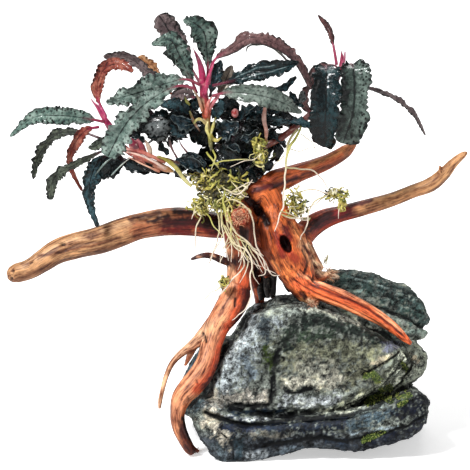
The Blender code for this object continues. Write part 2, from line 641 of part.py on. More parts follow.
# Hanging roots of the plant: paths with their half thickness in squares.
STRANDS = {
    "root_long": [(297, 130, -5, 1.6), (289, 144, -7, 2), (286, 160, -8, 1.6), (285, 176, -9, 1.4),
                  (284, 193, -12, 1.4),
                  (281, 213, -20, 1.4), (274, 231, -25, 0.8)],
    "root_a": [(230, 199, -19, 1.3), (240, 203, -21.5, 1.3), (248, 210, -22.5, 1.3), (254, 225, -22, 1.2),
               (256, 243, -21.5, 1.2),
               (262, 258, -21.5, 1.2), (271, 272, -22, 1.1), (280, 275, -22.5, 0.8)],
    "root_b": [(227, 208, -19, 1.3), (229, 221, -23, 1.3), (234, 231, -25, 1.3), (244, 241, -25.5, 1.3),
               (255, 251, -25.5, 1.2), (263, 260, -25, 1.1),
               (265, 274, -23.5, 1.0), (259, 277, -23, 0.7)],
    "root_c": [(221, 208, -18.5, 1.3), (224, 225, -22.5, 1.3), (231, 239, -25.5, 1.3),
               (244, 250, -28, 1.3), (252, 261, -28, 1.3), (250, 277, -28, 1.2),
               (251, 293, -29, 1.2), (245, 308, -31, 1.1), (231, 320, -34, 0.8)],
    "root_d": [(224, 211, -16, 1.2), (227, 225, -19.5, 1.2), (238, 244, -21.5, 1.2),
               (244, 264, -24.5, 1.2), (234, 277, -26, 1.2),
               (224, 290, -29.5, 1.1), (210, 305, -30, 0.8)],
    "root_e": [(216, 207, -17, 1.2), (219, 224, -18.5, 1.2), (217, 241, -19, 1.2), (212, 256, -21, 1.1),
               (206, 269, -23, 0.8)],
    "root_h": [(203, 206, -12.5, 1.2), (199, 222, -13, 1.2), (196, 238, -13, 1.1), (193, 254, -12, 0.7)],
    "root_over_limb": [(286, 168, 0, 1.2), (300, 169, 3, 1.2), (311, 170, 5, 1.1), (322, 179, 7, 1.1),
                       (329, 191, 7, 0.8)],
    "root_right": [(326, 195, 5, 1.1), (315, 203, 2, 1.2), (309, 213, -1, 1.2), (307, 224, -5, 1.1),
                   (300, 240, -18, 0.8)],
    "root_cross": [(281, 214, -24, 1.2), (294, 218, -18, 1.2), (309, 219, -8, 1.0)],
}

# A thread of moss that ties the tuft over the lower limb to the one in the fork.
MOSS_THREAD = [(304, 196, 4, 1.2), (314, 192, 7, 1.2), (326, 194, 10, 1.4), (336, 193, 12, 1.4)]
TUFT_STRANDS = {"moss_main": ["root_a", "root_b", "root_c", "root_d", "root_e", "root_h"]}

# Moss tufts.
TUFTS = {
    "moss_main": (
        [(205, 180, -6, 12, 12, 7), (222, 181, -8, 16, 13, 8), (237, 188, -8, 10, 14, 7), (213, 197, -12, 14, 13, 7),
         (201, 206, -11, 8, 9, 5), (226, 205, -14, 13, 10, 6)],
        240,
    ),
    "moss_upper": ([(259, 146, -10, 8, 9, 4), (260, 157, -10, 8, 9, 4)], 90),
    "moss_fork": ([(293, 198, 0, 9, 9, 6), (291, 210, 0, 8, 9, 6), (300, 206, 3, 6, 11, 5)], 120),
    "moss_on_limb": ([(340, 193, 12, 9, 6, 4), (332, 194, 12, 6, 4, 3), (342, 202, 10, 3, 7, 2)], 90),
    "moss_on_leg": ([(224, 283, -26, 4.5, 6, 2.4)], 60),
}
TUFT_NEIGHBORS = {
    "moss_main": ["driftwood_trunk", "driftwood_left_limb", "driftwood_stub"],
    "moss_upper": [],
    "moss_fork": ["driftwood_trunk", "driftwood_right_lower_limb", "driftwood_right_upper_limb"],
    "moss_on_limb": ["driftwood_right_lower_limb"],
    "moss_on_leg": ["driftwood_trunk", "driftwood_left_leg"],
}
tufts = {}
for name, (spots, faces) in TUFTS.items():
    tuft = fused(name, [ball(*spot) for spot in spots], TUFT_GRAIN * 0.8, 1)
    weather(tuft, TUFT_ROUGH, 0.003)
    tuft = thinned(tuft, faces)
    for neighbor in TUFT_NEIGHBORS[name]:
        tuft = carved(tuft, room_for(wood[neighbor], GAP * 1.7))
    tuft = carved(tuft, room_for(heart, GAP * 1.7))
    for strand in TUFT_STRANDS.get(name, []):
        first, second = STRANDS[strand][:2]
        before = tuple(a + (a - b) * 0.15 for a, b in zip(first, second))
        tuft = carved(tuft, tube("strand_room", [before] + STRANDS[strand], 1, 1, GAP * 1.6))
    tufts[name] = tuft
tufts["moss_on_limb"] = carved(tufts["moss_on_limb"], tube("moss_thread", MOSS_THREAD, 0, 2), "UNION")

strands = {name: tube(name, path, 0, 1 if len(path) > 5 else 2) for name, path in STRANDS.items()}

flower_bud = thinned(fused("flower_bud", [ball(235, 114, -6, 4, 5, 2.4)], 0.0008, 1), 60)

for name, piece in wood.items():
    finish(piece, LIMBS[name][1] if name in LIMBS else WOOD_RED, 0.5)
for name, (piece, color) in SHOOTS.items():
    finish(piece, color, 0.35)
for name, (piece, color) in blades.items():
    finish(piece, color, 0.35)
finish(heart, DARK_GREEN, 0.35)
for name, piece in tufts.items():
    finish(piece, MOSS, 0.8)
for name, piece in strands.items():
    finish(piece, CREAM, 0.6)
finish(flower_bud, PINK, 0.4)
bpy.data.objects.remove(trunk_room, do_unlink=True)
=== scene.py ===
# %% [markdown]
# # A bucephalandra on driftwood
#
# This lesson dresses the CAD frame of a plant that grows on branching driftwood over a layered rock. Each cell
# makes one thing and prints what it made.

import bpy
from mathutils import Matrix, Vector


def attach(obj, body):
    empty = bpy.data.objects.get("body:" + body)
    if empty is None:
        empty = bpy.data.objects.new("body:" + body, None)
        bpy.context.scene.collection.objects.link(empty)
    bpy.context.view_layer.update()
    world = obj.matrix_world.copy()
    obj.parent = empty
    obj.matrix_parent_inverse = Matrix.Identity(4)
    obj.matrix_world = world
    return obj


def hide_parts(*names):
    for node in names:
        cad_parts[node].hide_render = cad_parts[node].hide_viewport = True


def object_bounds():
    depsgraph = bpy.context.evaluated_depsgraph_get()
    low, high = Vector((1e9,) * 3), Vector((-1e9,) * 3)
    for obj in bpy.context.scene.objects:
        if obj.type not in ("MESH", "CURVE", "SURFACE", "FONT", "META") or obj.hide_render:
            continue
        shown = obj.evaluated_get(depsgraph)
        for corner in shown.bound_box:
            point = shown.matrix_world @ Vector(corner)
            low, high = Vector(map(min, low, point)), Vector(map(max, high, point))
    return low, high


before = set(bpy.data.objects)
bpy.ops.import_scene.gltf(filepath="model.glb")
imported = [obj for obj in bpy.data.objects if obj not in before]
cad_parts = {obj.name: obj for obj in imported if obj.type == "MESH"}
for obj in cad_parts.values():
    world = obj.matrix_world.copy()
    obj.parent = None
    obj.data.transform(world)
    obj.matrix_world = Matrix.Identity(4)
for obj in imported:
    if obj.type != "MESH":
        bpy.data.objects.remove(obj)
CAD_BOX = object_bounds()
print("CAD size in mm:", [round(1000 * (b - a), 1) for a, b in zip(*CAD_BOX)])

# %% [markdown]
# Shapes are made with bmesh and curves, moved with numpy arrays and Blender's noise, and scattered with a
# seeded random generator, so every run gives the same plant.

# %% Tools of the lesson
from math import cos, pi, radians, sin
from random import Random

import bmesh
import bpy
import numpy as np
from mathutils import Matrix, Vector, noise
from mathutils.kdtree import KDTree

print("tools ready")

# %% [markdown]
# ## The front drawing
#
# What this lesson calls the front drawing is the photograph, and a square on it is one of its pixels. Places
# across and down are read off it. That a square is 0.6 mm, that the view is from 12 degrees above level, and
# how far back each place lies are judgements. A place is given in squares across, squares down and
# millimetres back from the middle. `at` turns that into a point in metres, and `on_sheet` goes the other way
# for many points at once.

# %% From the drawing to metres and back
SQUARE = 0.0006
MM = 0.001
VIEW_TILT = radians(12.0)
MIDDLE_ACROSS = 309.0
FLOOR_DOWN = 443.7
ACROSS = Vector((1.0, 0.0, 0.0))
UP_ON_SHEET = Vector((0.0, sin(VIEW_TILT), cos(VIEW_TILT)))
TO_VIEWER = Vector((0.0, -cos(VIEW_TILT), sin(VIEW_TILT)))


def at(across, down, back):
    x = (across - MIDDLE_ACROSS) * SQUARE
    y = back * MM
    z = ((FLOOR_DOWN - down) * SQUARE - y * sin(VIEW_TILT)) / cos(VIEW_TILT)
    return Vector((x, y, z))


def on_sheet(points):
    across = points[:, 0] / SQUARE + MIDDLE_ACROSS
    up = points[:, 2] * cos(VIEW_TILT) + points[:, 1] * sin(VIEW_TILT)
    return np.stack([across, FLOOR_DOWN - up / SQUARE], axis=1)


print("the drawing's top left corner is at", [round(c, 4) for c in at(0, 0, 0)])

# %% [markdown]
# Leaves, strands and fibres are scattered about a middle. `beside` turns a place in a unit ball into a step
# from that middle, wide and tall in squares and deep in millimetres. `drawn` gives three random numbers, each
# about its own middle value.

# %% Scattering about a middle
def beside(place, wide, tall, deep):
    on_the_sheet = ACROSS * place.x * wide * SQUARE + UP_ON_SHEET * place.z * tall * SQUARE
    return on_the_sheet - TO_VIEWER * place.y * deep * MM


def drawn(draws, spread, middle=(0, 0, 0)):
    return Vector([draws.gauss(value, spread) for value in middle])


print("one square up is", [round(1000 * c, 2) for c in beside(Vector((0, 0, 1)), 1, 1, 1)], "mm")

# %% [markdown]
# ## Colours and shader nodes
#
# Colours are written as they look on a screen, in sRGB hex. A shader works with linear numbers, so one function
# turns them over. A second small function adds a shader node with its settings, fills its sockets with values,
# colours or links, and gives back one of its outputs, or the node itself. A Mix node of colours has its share
# in socket 0, its two colours in 6 and 7, and its result in output 2.

# %% A colour and a node
def linear(color):
    parts = [int(color[i : i + 2], 16) / 255.0 for i in (1, 3, 5)]
    return (*[c / 12.92 if c <= 0.04045 else ((c + 0.055) / 1.055) ** 2.4 for c in parts], 1.0)


def add(tree, kind, sockets, out=0, stops=(), **settings):
    made = tree.nodes.new("ShaderNode" + kind)
    for name, value in settings.items():
        setattr(made, name, value)
    for name, value in sockets.items():
        if isinstance(value, bpy.types.NodeSocket):
            tree.links.new(value, made.inputs[name])
        else:
            made.inputs[name].default_value = linear(value) if isinstance(value, str) else value
    for place, color in stops[2:]:
        made.color_ramp.elements.new(place)
    for element, (place, color) in zip(made.color_ramp.elements if stops else (), stops):
        element.position = place
        element.color = linear(color)
    return made if out is None or not made.outputs else made.outputs[out]


def new_tree(name):
    material = bpy.data.materials.new(name)
    material.use_nodes = True
    material.node_tree.nodes.clear()
    return material, material.node_tree


COLORS = {"data_type": "RGBA", "out": 2}
print("mid grey is", round(linear("#808080")[0], 3))

# %% [markdown]
# ## Driftwood
#
# Bare heartwood that water and roots have worn: tan where it dried in the open, orange to dark red near the
# heart. Its grain follows each limb, so the pattern can't be laid on flat. Every point of the wood carries its
# place beside its limb and along it in millimetres, in the attribute `grain`, and the noise is drawn out along
# the last of the three. `tint` holds the painted colour, with painted light and shade among it. `shade` marks the
# pits, folds and the hollow, which are painted darker as shade, and `hollow` how far a point is sunk, for painted
# shade in the hollows and a painted highlight on the crests.

# %% Driftwood, satin because it is smooth and a little damp
def driftwood_finish():
    material, tree = new_tree("worn_driftwood")
    wanted = (("grain", 1), ("tint", 0), ("shade", 2), ("hollow", 2))
    grain, tint, shade, hollow = [add(tree, "Attribute", {}, out, attribute_name=name) for name, out in wanted]
    drawn_out = add(tree, "Mapping", {"Vector": grain, "Scale": (1.0, 1.0, 0.09)})
    # Bands of grain about 2.5 mm wide, fibres about 0.8 mm, blotches about 8 mm.
    cloudy = {"Detail": 5.0, "Roughness": 0.6}
    bands = add(tree, "TexNoise", {"Vector": drawn_out, "Scale": 0.4, "Distortion": 0.6, **cloudy})
    fibres = add(tree, "TexNoise", {"Vector": drawn_out, "Scale": 1.3, "Detail": 4.0, "Roughness": 0.65})
    blotches = add(tree, "TexNoise", {"Vector": grain, "Scale": 0.13, "Detail": 4.0, "Roughness": 0.6})
    part = add(tree, "Math", {0: fibres, 1: 0.5, 2: bands}, operation="MULTIPLY_ADD")
    part = add(tree, "Math", {0: blotches, 1: 0.5, 2: part}, operation="MULTIPLY_ADD")
    contrast = {"From Min": 0.78, "From Max": 1.2, "To Min": 0.12, "To Max": 1.75}
    bright = add(tree, "MapRange", {"Value": part, **contrast})
    color = add(tree, "VectorMath", {0: tint, "Scale": bright}, operation="SCALE")
    deep = add(tree, "MapRange", {"Value": part, "From Min": 0.98, "From Max": 0.78})
    red = add(tree, "VectorMath", {0: color, 1: (1.0, 0.6, 0.5)}, operation="MULTIPLY")
    color = add(tree, "Mix", {0: deep, 6: color, 7: red}, **COLORS)
    lines = add(tree, "MapRange", {"Value": fibres, "From Min": 0.45, "From Max": 0.34, "To Max": 0.6})
    color = add(tree, "Mix", {0: lines, 6: color, 7: "#35100c"}, **COLORS)
    # Dark stains along the bands of grain, with painted shade from `shade` in the pits, folds and the hollow.
    grain_stain_and_shade = add(tree, "Math", {0: bands, 1: 0.45, 2: shade}, operation="MULTIPLY_ADD")
    grain_stain_and_shade = add(tree, "MapRange", {"Value": grain_stain_and_shade, "From Min": 0.4, "From Max": 0.95})
    color = add(tree, "Mix", {0: grain_stain_and_shade, 6: color, 7: "#170607"}, **COLORS)
    # Painted shade: darker where a point lies sunk in a hollow.
    hollow_shade = add(tree, "MapRange", {"Value": hollow, "From Min": 0.12, "From Max": 0.9, "To Max": 0.75})
    color = add(tree, "Mix", {0: hollow_shade, 6: color, 7: "#2a0a08"}, **COLORS)
    # Painted highlight: lighter on the crests.
    crest_highlight = add(tree, "MapRange", {"Value": hollow, "From Min": -0.1, "From Max": -0.7, "To Max": 0.6})
    lit = add(tree, "VectorMath", {0: color, 1: (1.6, 1.6, 1.55)}, operation="MULTIPLY")
    color = add(tree, "Mix", {0: crest_highlight, 6: color, 7: lit}, **COLORS)
    height = add(tree, "Math", {0: fibres, 1: 0.5, 2: bands}, operation="MULTIPLY_ADD")
    bump = add(tree, "Bump", {"Height": height, "Strength": 0.7, "Distance": 0.0007})
    satin = {"Roughness": 0.45, "Specular IOR Level": 0.35}
    shader = add(tree, "BsdfPrincipled", {"Base Color": color, "Normal": bump, **satin})
    add(tree, "OutputMaterial", {"Surface": shader})
    return material


DRIFTWOOD = driftwood_finish()
print("made", DRIFTWOOD.name)

# %% [markdown]
# ## Rock
#
# A layered stone, split by frost and worn by water. Its colours, painted light and shade among them, are painted
# on later and lie in the attribute `tint`. Here they are broken into lighter and darker flakes. `crack` marks its
# grooves, painted dark as shade, `mossy` the green spots, and `hollow` how far a point lies under its surroundings,
# for painted shade in the hollows and a painted highlight on the crests.

# %% Rock, matt with a faint damp sheen
def rock_finish():
    material, tree = new_tree("layered_grey_rock")
    place = add(tree, "TexCoord", {}, 3)
    wanted = (("tint", 0), ("crack", 2), ("mossy", 2), ("hollow", 2))
    tint, crack, mossy, hollow = [add(tree, "Attribute", {}, out, attribute_name=name) for name, out in wanted]
    # Crusts about 10 mm across, flakes about 3 mm, grit about 0.8 mm, pits about 1.5 mm apart.
    cloudy, flaky = {"Detail": 5.0, "Roughness": 0.62}, {"Detail": 6.0, "Roughness": 0.72}
    crusts = add(tree, "TexNoise", {"Vector": place, "Scale": 110.0, "Distortion": 0.5, **cloudy})
    flakes = add(tree, "TexNoise", {"Vector": place, "Scale": 330.0, "Distortion": 0.3, **flaky})
    grit = add(tree, "TexNoise", {"Vector": place, "Scale": 1300.0, "Detail": 3.0, "Roughness": 0.7})
    pits = add(tree, "TexVoronoi", {"Vector": place, "Scale": 620.0, "Randomness": 1.0})
    part = add(tree, "Math", {0: crusts, 1: 0.5, 2: flakes}, operation="MULTIPLY_ADD")
    part = add(tree, "Math", {0: grit, 1: 0.35, 2: part}, operation="MULTIPLY_ADD")
    contrast = {"From Min": 0.79, "From Max": 1.08, "To Min": 0.03, "To Max": 2.75}
    bright = add(tree, "MapRange", {"Value": part, **contrast})
    color = add(tree, "VectorMath", {0: tint, "Scale": bright}, operation="SCALE")
    # Angular shards about 5 mm across, each its own tone, with dark cracks between some of them.
    warped = add(tree, "VectorMath", {0: flakes, 1: (0.006, 0.006, 0.006), 2: place}, operation="MULTIPLY_ADD")
    shards = add(tree, "TexVoronoi", {"Vector": warped, "Scale": 190.0}, 1)
    contrast = {"From Min": 0.1, "From Max": 0.9, "To Min": 0.62, "To Max": 1.42}
    bright = add(tree, "MapRange", {"Value": shards, **contrast})
    color = add(tree, "VectorMath", {0: color, "Scale": bright}, operation="SCALE")
    cracks = add(tree, "TexVoronoi", {"Vector": warped, "Scale": 190.0}, 0, feature="DISTANCE_TO_EDGE")
    part = add(tree, "MapRange", {"Value": cracks, "From Min": 0.075, "From Max": 0.02, "To Max": 0.75})
    some = add(tree, "MapRange", {"Value": crusts, "From Min": 0.56, "From Max": 0.46})
    part = add(tree, "Math", {0: part, 1: some}, operation="MULTIPLY")
    color = add(tree, "Mix", {0: part, 6: color, 7: "#090b0d"}, **COLORS)
    # Thin wandering lines, light along the edges of flakes and dark between them.
    twisted = {"Detail": 5.0, "Roughness": 0.6, "Distortion": 1.4}
    veins = add(tree, "TexNoise", {"Vector": place, "Scale": 190.0, **twisted})
    pale = add(tree, "VectorMath", {0: tint, "Scale": 2.6}, operation="SCALE")
    for level, core, most, over in ((0.5, 0.003, 0.42, pale), (0.56, 0.004, 0.75, "#07090b")):
        part = add(tree, "Math", {0: veins, 1: level}, operation="SUBTRACT")
        part = add(tree, "Math", {0: part}, operation="ABSOLUTE")
        part = add(tree, "MapRange", {"Value": part, "From Min": 0.014, "From Max": core, "To Max": most})
        color = add(tree, "Mix", {0: part, 6: color, 7: over}, **COLORS)
    lichen = add(tree, "MapRange", {"Value": crusts, "From Min": 0.55, "From Max": 0.68, "To Max": 0.35})
    warm = add(tree, "VectorMath", {0: color, 1: (1.25, 1.15, 0.75)}, operation="MULTIPLY")
    color = add(tree, "Mix", {0: lichen, 6: color, 7: warm}, **COLORS)
    spot = add(tree, "MapRange", {"Value": pits, "From Min": 0.22, "From Max": 0.1, "To Max": 0.8})
    part = add(tree, "MapRange", {"Value": flakes, "From Min": 0.5, "From Max": 0.44})
    spot = add(tree, "Math", {0: spot, 1: part}, operation="MULTIPLY")
    color = add(tree, "Mix", {0: spot, 6: color, 7: "#0b0d0f"}, **COLORS)
    green = add(tree, "ValToRGB", {"Fac": grit}, stops=[(0.36, "#0e1606"), (0.5, "#2c400f"), (0.64, "#6f842c")])
    part = add(tree, "Math", {0: flakes, 1: 0.8, 2: mossy}, operation="MULTIPLY_ADD")
    part = add(tree, "MapRange", {"Value": part, "From Min": 0.8, "From Max": 1.1, "To Max": 0.85})
    color = add(tree, "Mix", {0: part, 6: color, 7: green}, **COLORS)
    # Painted shade: nearly black in the grooves and cracks.
    part = add(tree, "Math", {0: flakes, 1: 2.2, 2: crack}, operation="MULTIPLY_ADD")
    part = add(tree, "MapRange", {"Value": part, "From Min": 1.5, "From Max": 1.8, "To Max": 0.92})
    color = add(tree, "Mix", {0: part, 6: color, 7: "#040608"}, **COLORS)
    # Painted shade: darker where a point lies sunk in a hollow.
    dim = add(tree, "MapRange", {"Value": hollow, "From Min": 0.1, "From Max": 0.9, "To Max": 0.85})
    color = add(tree, "Mix", {0: dim, 6: color, 7: "#06080a"}, **COLORS)
    # Painted highlight: lighter on the crests.
    crest_highlight = add(tree, "MapRange", {"Value": hollow, "From Min": -0.1, "From Max": -0.8, "To Max": 0.6})
    lit = add(tree, "VectorMath", {0: color, "Scale": 2.0}, operation="SCALE")
    lit = add(tree, "VectorMath", {0: lit, 1: (0.03, 0.03, 0.03)}, operation="ADD")
    color = add(tree, "Mix", {0: crest_highlight, 6: color, 7: lit}, **COLORS)
    height = add(tree, "Math", {0: grit, 1: 0.4, 2: flakes}, operation="MULTIPLY_ADD")
    bump = add(tree, "Bump", {"Height": height, "Strength": 0.9, "Distance": 0.0012})
    matt = {"Roughness": 0.6, "Specular IOR Level": 0.18}
    shader = add(tree, "BsdfPrincipled", {"Base Color": color, "Normal": bump, **matt})
    add(tree, "OutputMaterial", {"Surface": shader})
    return material


ROCK = rock_finish()
print("made", ROCK.name)

# %% [markdown]
# ## Leaves
#
# A bucephalandra leaf is leathery and wet, with a darker, knobbed margin and small raised dots. The attribute
# `blade` holds the share of the half width and the millimetres across and along, and `stem` fades from the
# stalk into the blade. The face and the reverse of a leaf differ, so each has its own finish from the same
# recipe: a dark, a middle and a light colour, and the stalk's.

# %% Leaves, glossy because they are wet
def leaf_finish(name, dark, middle, light, stalk, dots, roughness, margin="#0a1211", margin_part=0.9):
    material, tree = new_tree(name)
    place = add(tree, "TexCoord", {}, 3)
    wanted = (("blade", 1), ("stem", 2), ("hollow", 2), ("lightness", 2))
    blade, stem, hollow, lightness = [add(tree, "Attribute", {}, out, attribute_name=name) for name, out in wanted]
    split = add(tree, "SeparateXYZ", {"Vector": blade}, None)
    side = add(tree, "Math", {0: split.outputs["X"]}, operation="ABSOLUTE")
    flat = add(tree, "CombineXYZ", {"X": split.outputs["Y"], "Y": split.outputs["Z"]})
    # Cloudy colour about 5 mm across and a fine mottle about 1 mm.
    cloudy = {"Detail": 5.0, "Roughness": 0.6, "Distortion": 0.4}
    clouds = add(tree, "TexNoise", {"Vector": place, "Scale": 200.0, **cloudy})
    mottle = add(tree, "TexNoise", {"Vector": place, "Scale": 1100.0, "Detail": 4.0, "Roughness": 0.7})
    tone = add(tree, "Math", {0: mottle, 1: 0.6, 2: clouds}, operation="MULTIPLY_ADD")
    tone = add(tree, "Math", {0: tone, 1: lightness}, operation="ADD")
    color = add(tree, "ValToRGB", {"Fac": tone}, stops=[(0.52, dark), (0.74, middle), (0.96, light)])
    rib = add(tree, "MapRange", {"Value": side, "From Min": 0.1, "From Max": 0.02, "To Max": 0.35})
    color = add(tree, "Mix", {0: rib, 6: color, 7: dark}, **COLORS)
    # Wet glints where the blade is lightest.
    glint = add(tree, "MapRange", {"Value": tone, "From Min": 1.12, "From Max": 1.5, "To Max": 0.6})
    color = add(tree, "Mix", {0: glint, 6: color, 7: "#9fb0b0"}, **COLORS)
    # Raised dots 2 to 3 mm apart, more of them toward the margin.
    cells = add(tree, "TexVoronoi", {"Vector": flat, "Scale": 0.45, "Randomness": 1.0}, voronoi_dimensions="2D")
    dot = add(tree, "MapRange", {"Value": cells, "From Min": 0.33, "From Max": 0.2, "To Max": dots})
    part = add(tree, "Math", {0: clouds, 1: 0.9, 2: side}, operation="MULTIPLY_ADD")
    part = add(tree, "MapRange", {"Value": part, "From Min": 0.6, "From Max": 1.0})
    dot = add(tree, "Math", {0: dot, 1: part}, operation="MULTIPLY")
    color = add(tree, "Mix", {0: dot, 6: color, 7: "#070d0c"}, **COLORS)
    # The margin breaks up where it is knobbed.
    part = add(tree, "Math", {0: mottle, 1: 0.5, 2: side}, operation="MULTIPLY_ADD")
    edge = add(tree, "MapRange", {"Value": part, "From Min": 1.02, "From Max": 1.2, "To Max": margin_part})
    color = add(tree, "Mix", {0: edge, 6: color, 7: margin}, **COLORS)
    # Painted shade in the hollows of the blade.
    hollow_shade = add(tree, "MapRange", {"Value": hollow, "From Min": 0.2, "From Max": 0.75, "To Max": 0.9})
    color = add(tree, "Mix", {0: hollow_shade, 6: color, 7: "#04090a"}, **COLORS)
    # Painted highlight: the light colour on the crests.
    crest_highlight = add(tree, "MapRange", {"Value": hollow, "From Min": -0.2, "From Max": -0.9, "To Max": 0.5})
    color = add(tree, "Mix", {0: crest_highlight, 6: color, 7: light}, **COLORS)
    color = add(tree, "Mix", {0: stem, 6: color, 7: stalk}, **COLORS)
    height = add(tree, "Math", {0: mottle, 1: 0.25, 2: clouds}, operation="MULTIPLY_ADD")
    height = add(tree, "Math", {0: dot, 1: 0.7, 2: height}, operation="MULTIPLY_ADD")
    bump = add(tree, "Bump", {"Height": height, "Strength": 0.9, "Distance": 0.0014})
    gloss = {"Roughness": roughness, "Specular IOR Level": 0.15, "Coat Weight": 0.35, "Coat Roughness": 0.14}
    shader = add(tree, "BsdfPrincipled", {"Base Color": color, "Normal": bump, **gloss})
    add(tree, "OutputMaterial", {"Surface": shader})
    return material


LEAF_COLORS = {
    "sage": ("face", "#3c4f48", "#687f76", "#a2b4aa", "#9a4658", 0.7, 0.34, "#131b18", 0.6),
    "dull_sage": ("face", "#333f39", "#56645c", "#838f86", "#9a4658", 0.6, 0.4, "#33342a", 0.5),
    "green": ("face", "#22383a", "#547066", "#94aa9f", "#96344e", 0.95, 0.3),
    "shaded": ("face", "#161f1d", "#3e4c46", "#6f7f77", "#5a2a3a", 1.0, 0.3),
    "gloss": ("face", "#010304", "#040e11", "#1c3438", "#6a3040", 0.7, 0.14, "#020506", 0.8),
    "teal": ("face", "#020506", "#0d1b1f", "#3c5a62", "#3a2229", 0.7, 0.18),
    # Nearly black: painted shade for the leaves deep in the thicket.
    "deep": ("face", "#010203", "#04080a", "#1c2a2e", "#3a2229", 0.6, 0.2),
    # A dark leaf whose light margin is a painted rim highlight.
    "rim_highlit": ("face", "#020405", "#0a151a", "#344a54", "#3a2229", 0.5, 0.15, "#75807f", 0.6),
    "dotted": ("face", "#2c3032", "#4e5455", "#7a8080", "#5a4a4c", 1.0, 0.35),
    "olive": ("face", "#1a211a", "#3a4139", "#66705f", "#5a383e", 0.9, 0.35),
    "taupe": ("reverse", "#443739", "#5f5051", "#857574", "#864854", 0.6, 0.42),
    "cream": ("reverse", "#5a4f46", "#8a7d70", "#b5a898", "#8a5a50", 0.5, 0.42),
    "maroon": ("reverse", "#462f31", "#624546", "#8a6866", "#9c3a58", 0.6, 0.4),
    "wine": ("face", "#1c0d0e", "#3c1e20", "#6a4442", "#9c3a58", 0.4, 0.4),
    "brick": ("reverse", "#4c1416", "#86382d", "#b5705c", "#a02850", 0.4, 0.4, "#5a1c18", 0.5),
    "tan": ("reverse", "#6a4028", "#a8724a", "#d0a074", "#b65a3a", 0.25, 0.42, "#6a4028", 0.5),
}
LEAF = {name: leaf_finish(f"leaf_{side}_{name}", *values) for name, (side, *values) in LEAF_COLORS.items()}
print("made", len(LEAF), "leaf finishes")

# %% [markdown]
# ## Stems, roots and moss
#
# The soft stems, the aerial roots and the moss threads differ in colour along and between them, so each point
# carries its own colour in the attribute `tint`, given along each stem. The finish adds fine streaks
# and a wet or a dry surface.

# %% Stems and threads, tinted point by point
def tinted_finish(name, streak_size, contrast, roughness, coat):
    material, tree = new_tree(name)
    tint = add(tree, "Attribute", {}, 0, attribute_name="tint")
    place = add(tree, "TexCoord", {}, 3)
    streaks = add(tree, "TexNoise", {"Vector": place, "Scale": 1.0 / streak_size, "Detail": 4.0, "Roughness": 0.65})
    part = add(tree, "MapRange", {"Value": streaks, "From Min": 0.5, "From Max": 0.32, "To Max": contrast})
    dark = add(tree, "Mix", {0: 0.75, 6: tint, 7: "#1c0d08"}, **COLORS)
    color = add(tree, "Mix", {0: part, 6: tint, 7: dark}, **COLORS)
    part = add(tree, "MapRange", {"Value": streaks, "From Min": 0.55, "From Max": 0.75, "To Max": contrast * 0.6})
    color = add(tree, "Mix", {0: part, 6: color, 7: "#fff2dc"}, **COLORS)
    bump = add(tree, "Bump", {"Height": streaks, "Strength": 0.5, "Distance": 0.0006})
    gloss = {"Roughness": roughness, "Coat Weight": coat, "Coat Roughness": 0.1}
    shader = add(tree, "BsdfPrincipled", {"Base Color": color, "Normal": bump, **gloss})
    add(tree, "OutputMaterial", {"Surface": shader})
    return material


STEM = tinted_finish("wet_stem", 0.0022, 0.6, 0.3, 0.3)
ROOT = tinted_finish("aerial_root", 0.0018, 0.45, 0.5, 0.0)
MOSS = tinted_finish("moss_thread", 0.0020, 0.4, 0.6, 0.0)
print("made", STEM.name, ROOT.name, MOSS.name)

# %% [markdown]
# ## Helpers for shapes
#
# A limb, a root or a stem is a curve with a round bevel, thicker or thinner at each of its points. Where limbs
# meet, their shells are joined and given one skin by a voxel remesh, which is how a tree looks where its
# branches flow into each other.

# %% Curves and skins
def settled(obj):
    bpy.context.scene.collection.objects.link(obj)
    bpy.context.view_layer.update()
    graph = bpy.context.evaluated_depsgraph_get()
    mesh = bpy.data.meshes.new_from_object(obj.evaluated_get(graph))
    mesh.transform(obj.matrix_world)
    bpy.data.objects.remove(obj, do_unlink=True)
    body = bmesh.new()
    body.from_mesh(mesh)
    bmesh.ops.remove_doubles(body, verts=body.verts, dist=0.00001)
    bmesh.ops.recalc_face_normals(body, faces=body.faces)
    for face in body.faces:
        face.smooth = True
    body.to_mesh(mesh)
    body.free()
    return mesh


def rods(lines, sides, steps=1, kind="BEZIER"):
    curve = bpy.data.curves.new("rods", "CURVE")
    curve.dimensions = "3D"
    curve.bevel_depth = MM
    curve.bevel_resolution = sides
    curve.resolution_u = steps
    curve.use_fill_caps = True
    for line in lines:
        spline = curve.splines.new(kind)
        points = spline.bezier_points if kind == "BEZIER" else spline.points
        points.add(len(line) - 1)
        for point, (place, half) in zip(points, line):
            point.co = place if kind == "BEZIER" else (*place, 1.0)
            point.radius = half / MM
            if kind == "BEZIER":
                point.handle_left_type = point.handle_right_type = "AUTO"
    return settled(bpy.data.objects.new("rods", curve))


def on_drawing(path, grow=0.0):
    return [(at(across, down, back), half * SQUARE + grow) for across, down, back, half in path]


print("curves ready, one square is", SQUARE / MM, "mm")

# %% [markdown]
# Shells that overlap are joined in one mesh first. The voxel remesh then walks over a grid of small cubes and
# keeps only the outer skin, and a few rounds of smoothing take away its steps.

# %% Joined meshes and one skin
def meshed(body, name, smooth=False):
    for face in body.faces if smooth else ():
        face.smooth = True
    mesh = bpy.data.meshes.new(name)
    body.to_mesh(mesh)
    body.free()
    return mesh


def together(meshes):
    body = bmesh.new()
    for mesh in meshes:
        body.from_mesh(mesh)
    return meshed(body, "together")


def one_skin(meshes, grain, rounds):
    lump = bpy.data.objects.new("lump", together(meshes))
    remesh = lump.modifiers.new("one skin", "REMESH")
    remesh.mode = "VOXEL"
    remesh.voxel_size = grain
    soften = lump.modifiers.new("soften", "SMOOTH")
    soften.iterations = rounds
    return settled(lump)


print("joining ready")

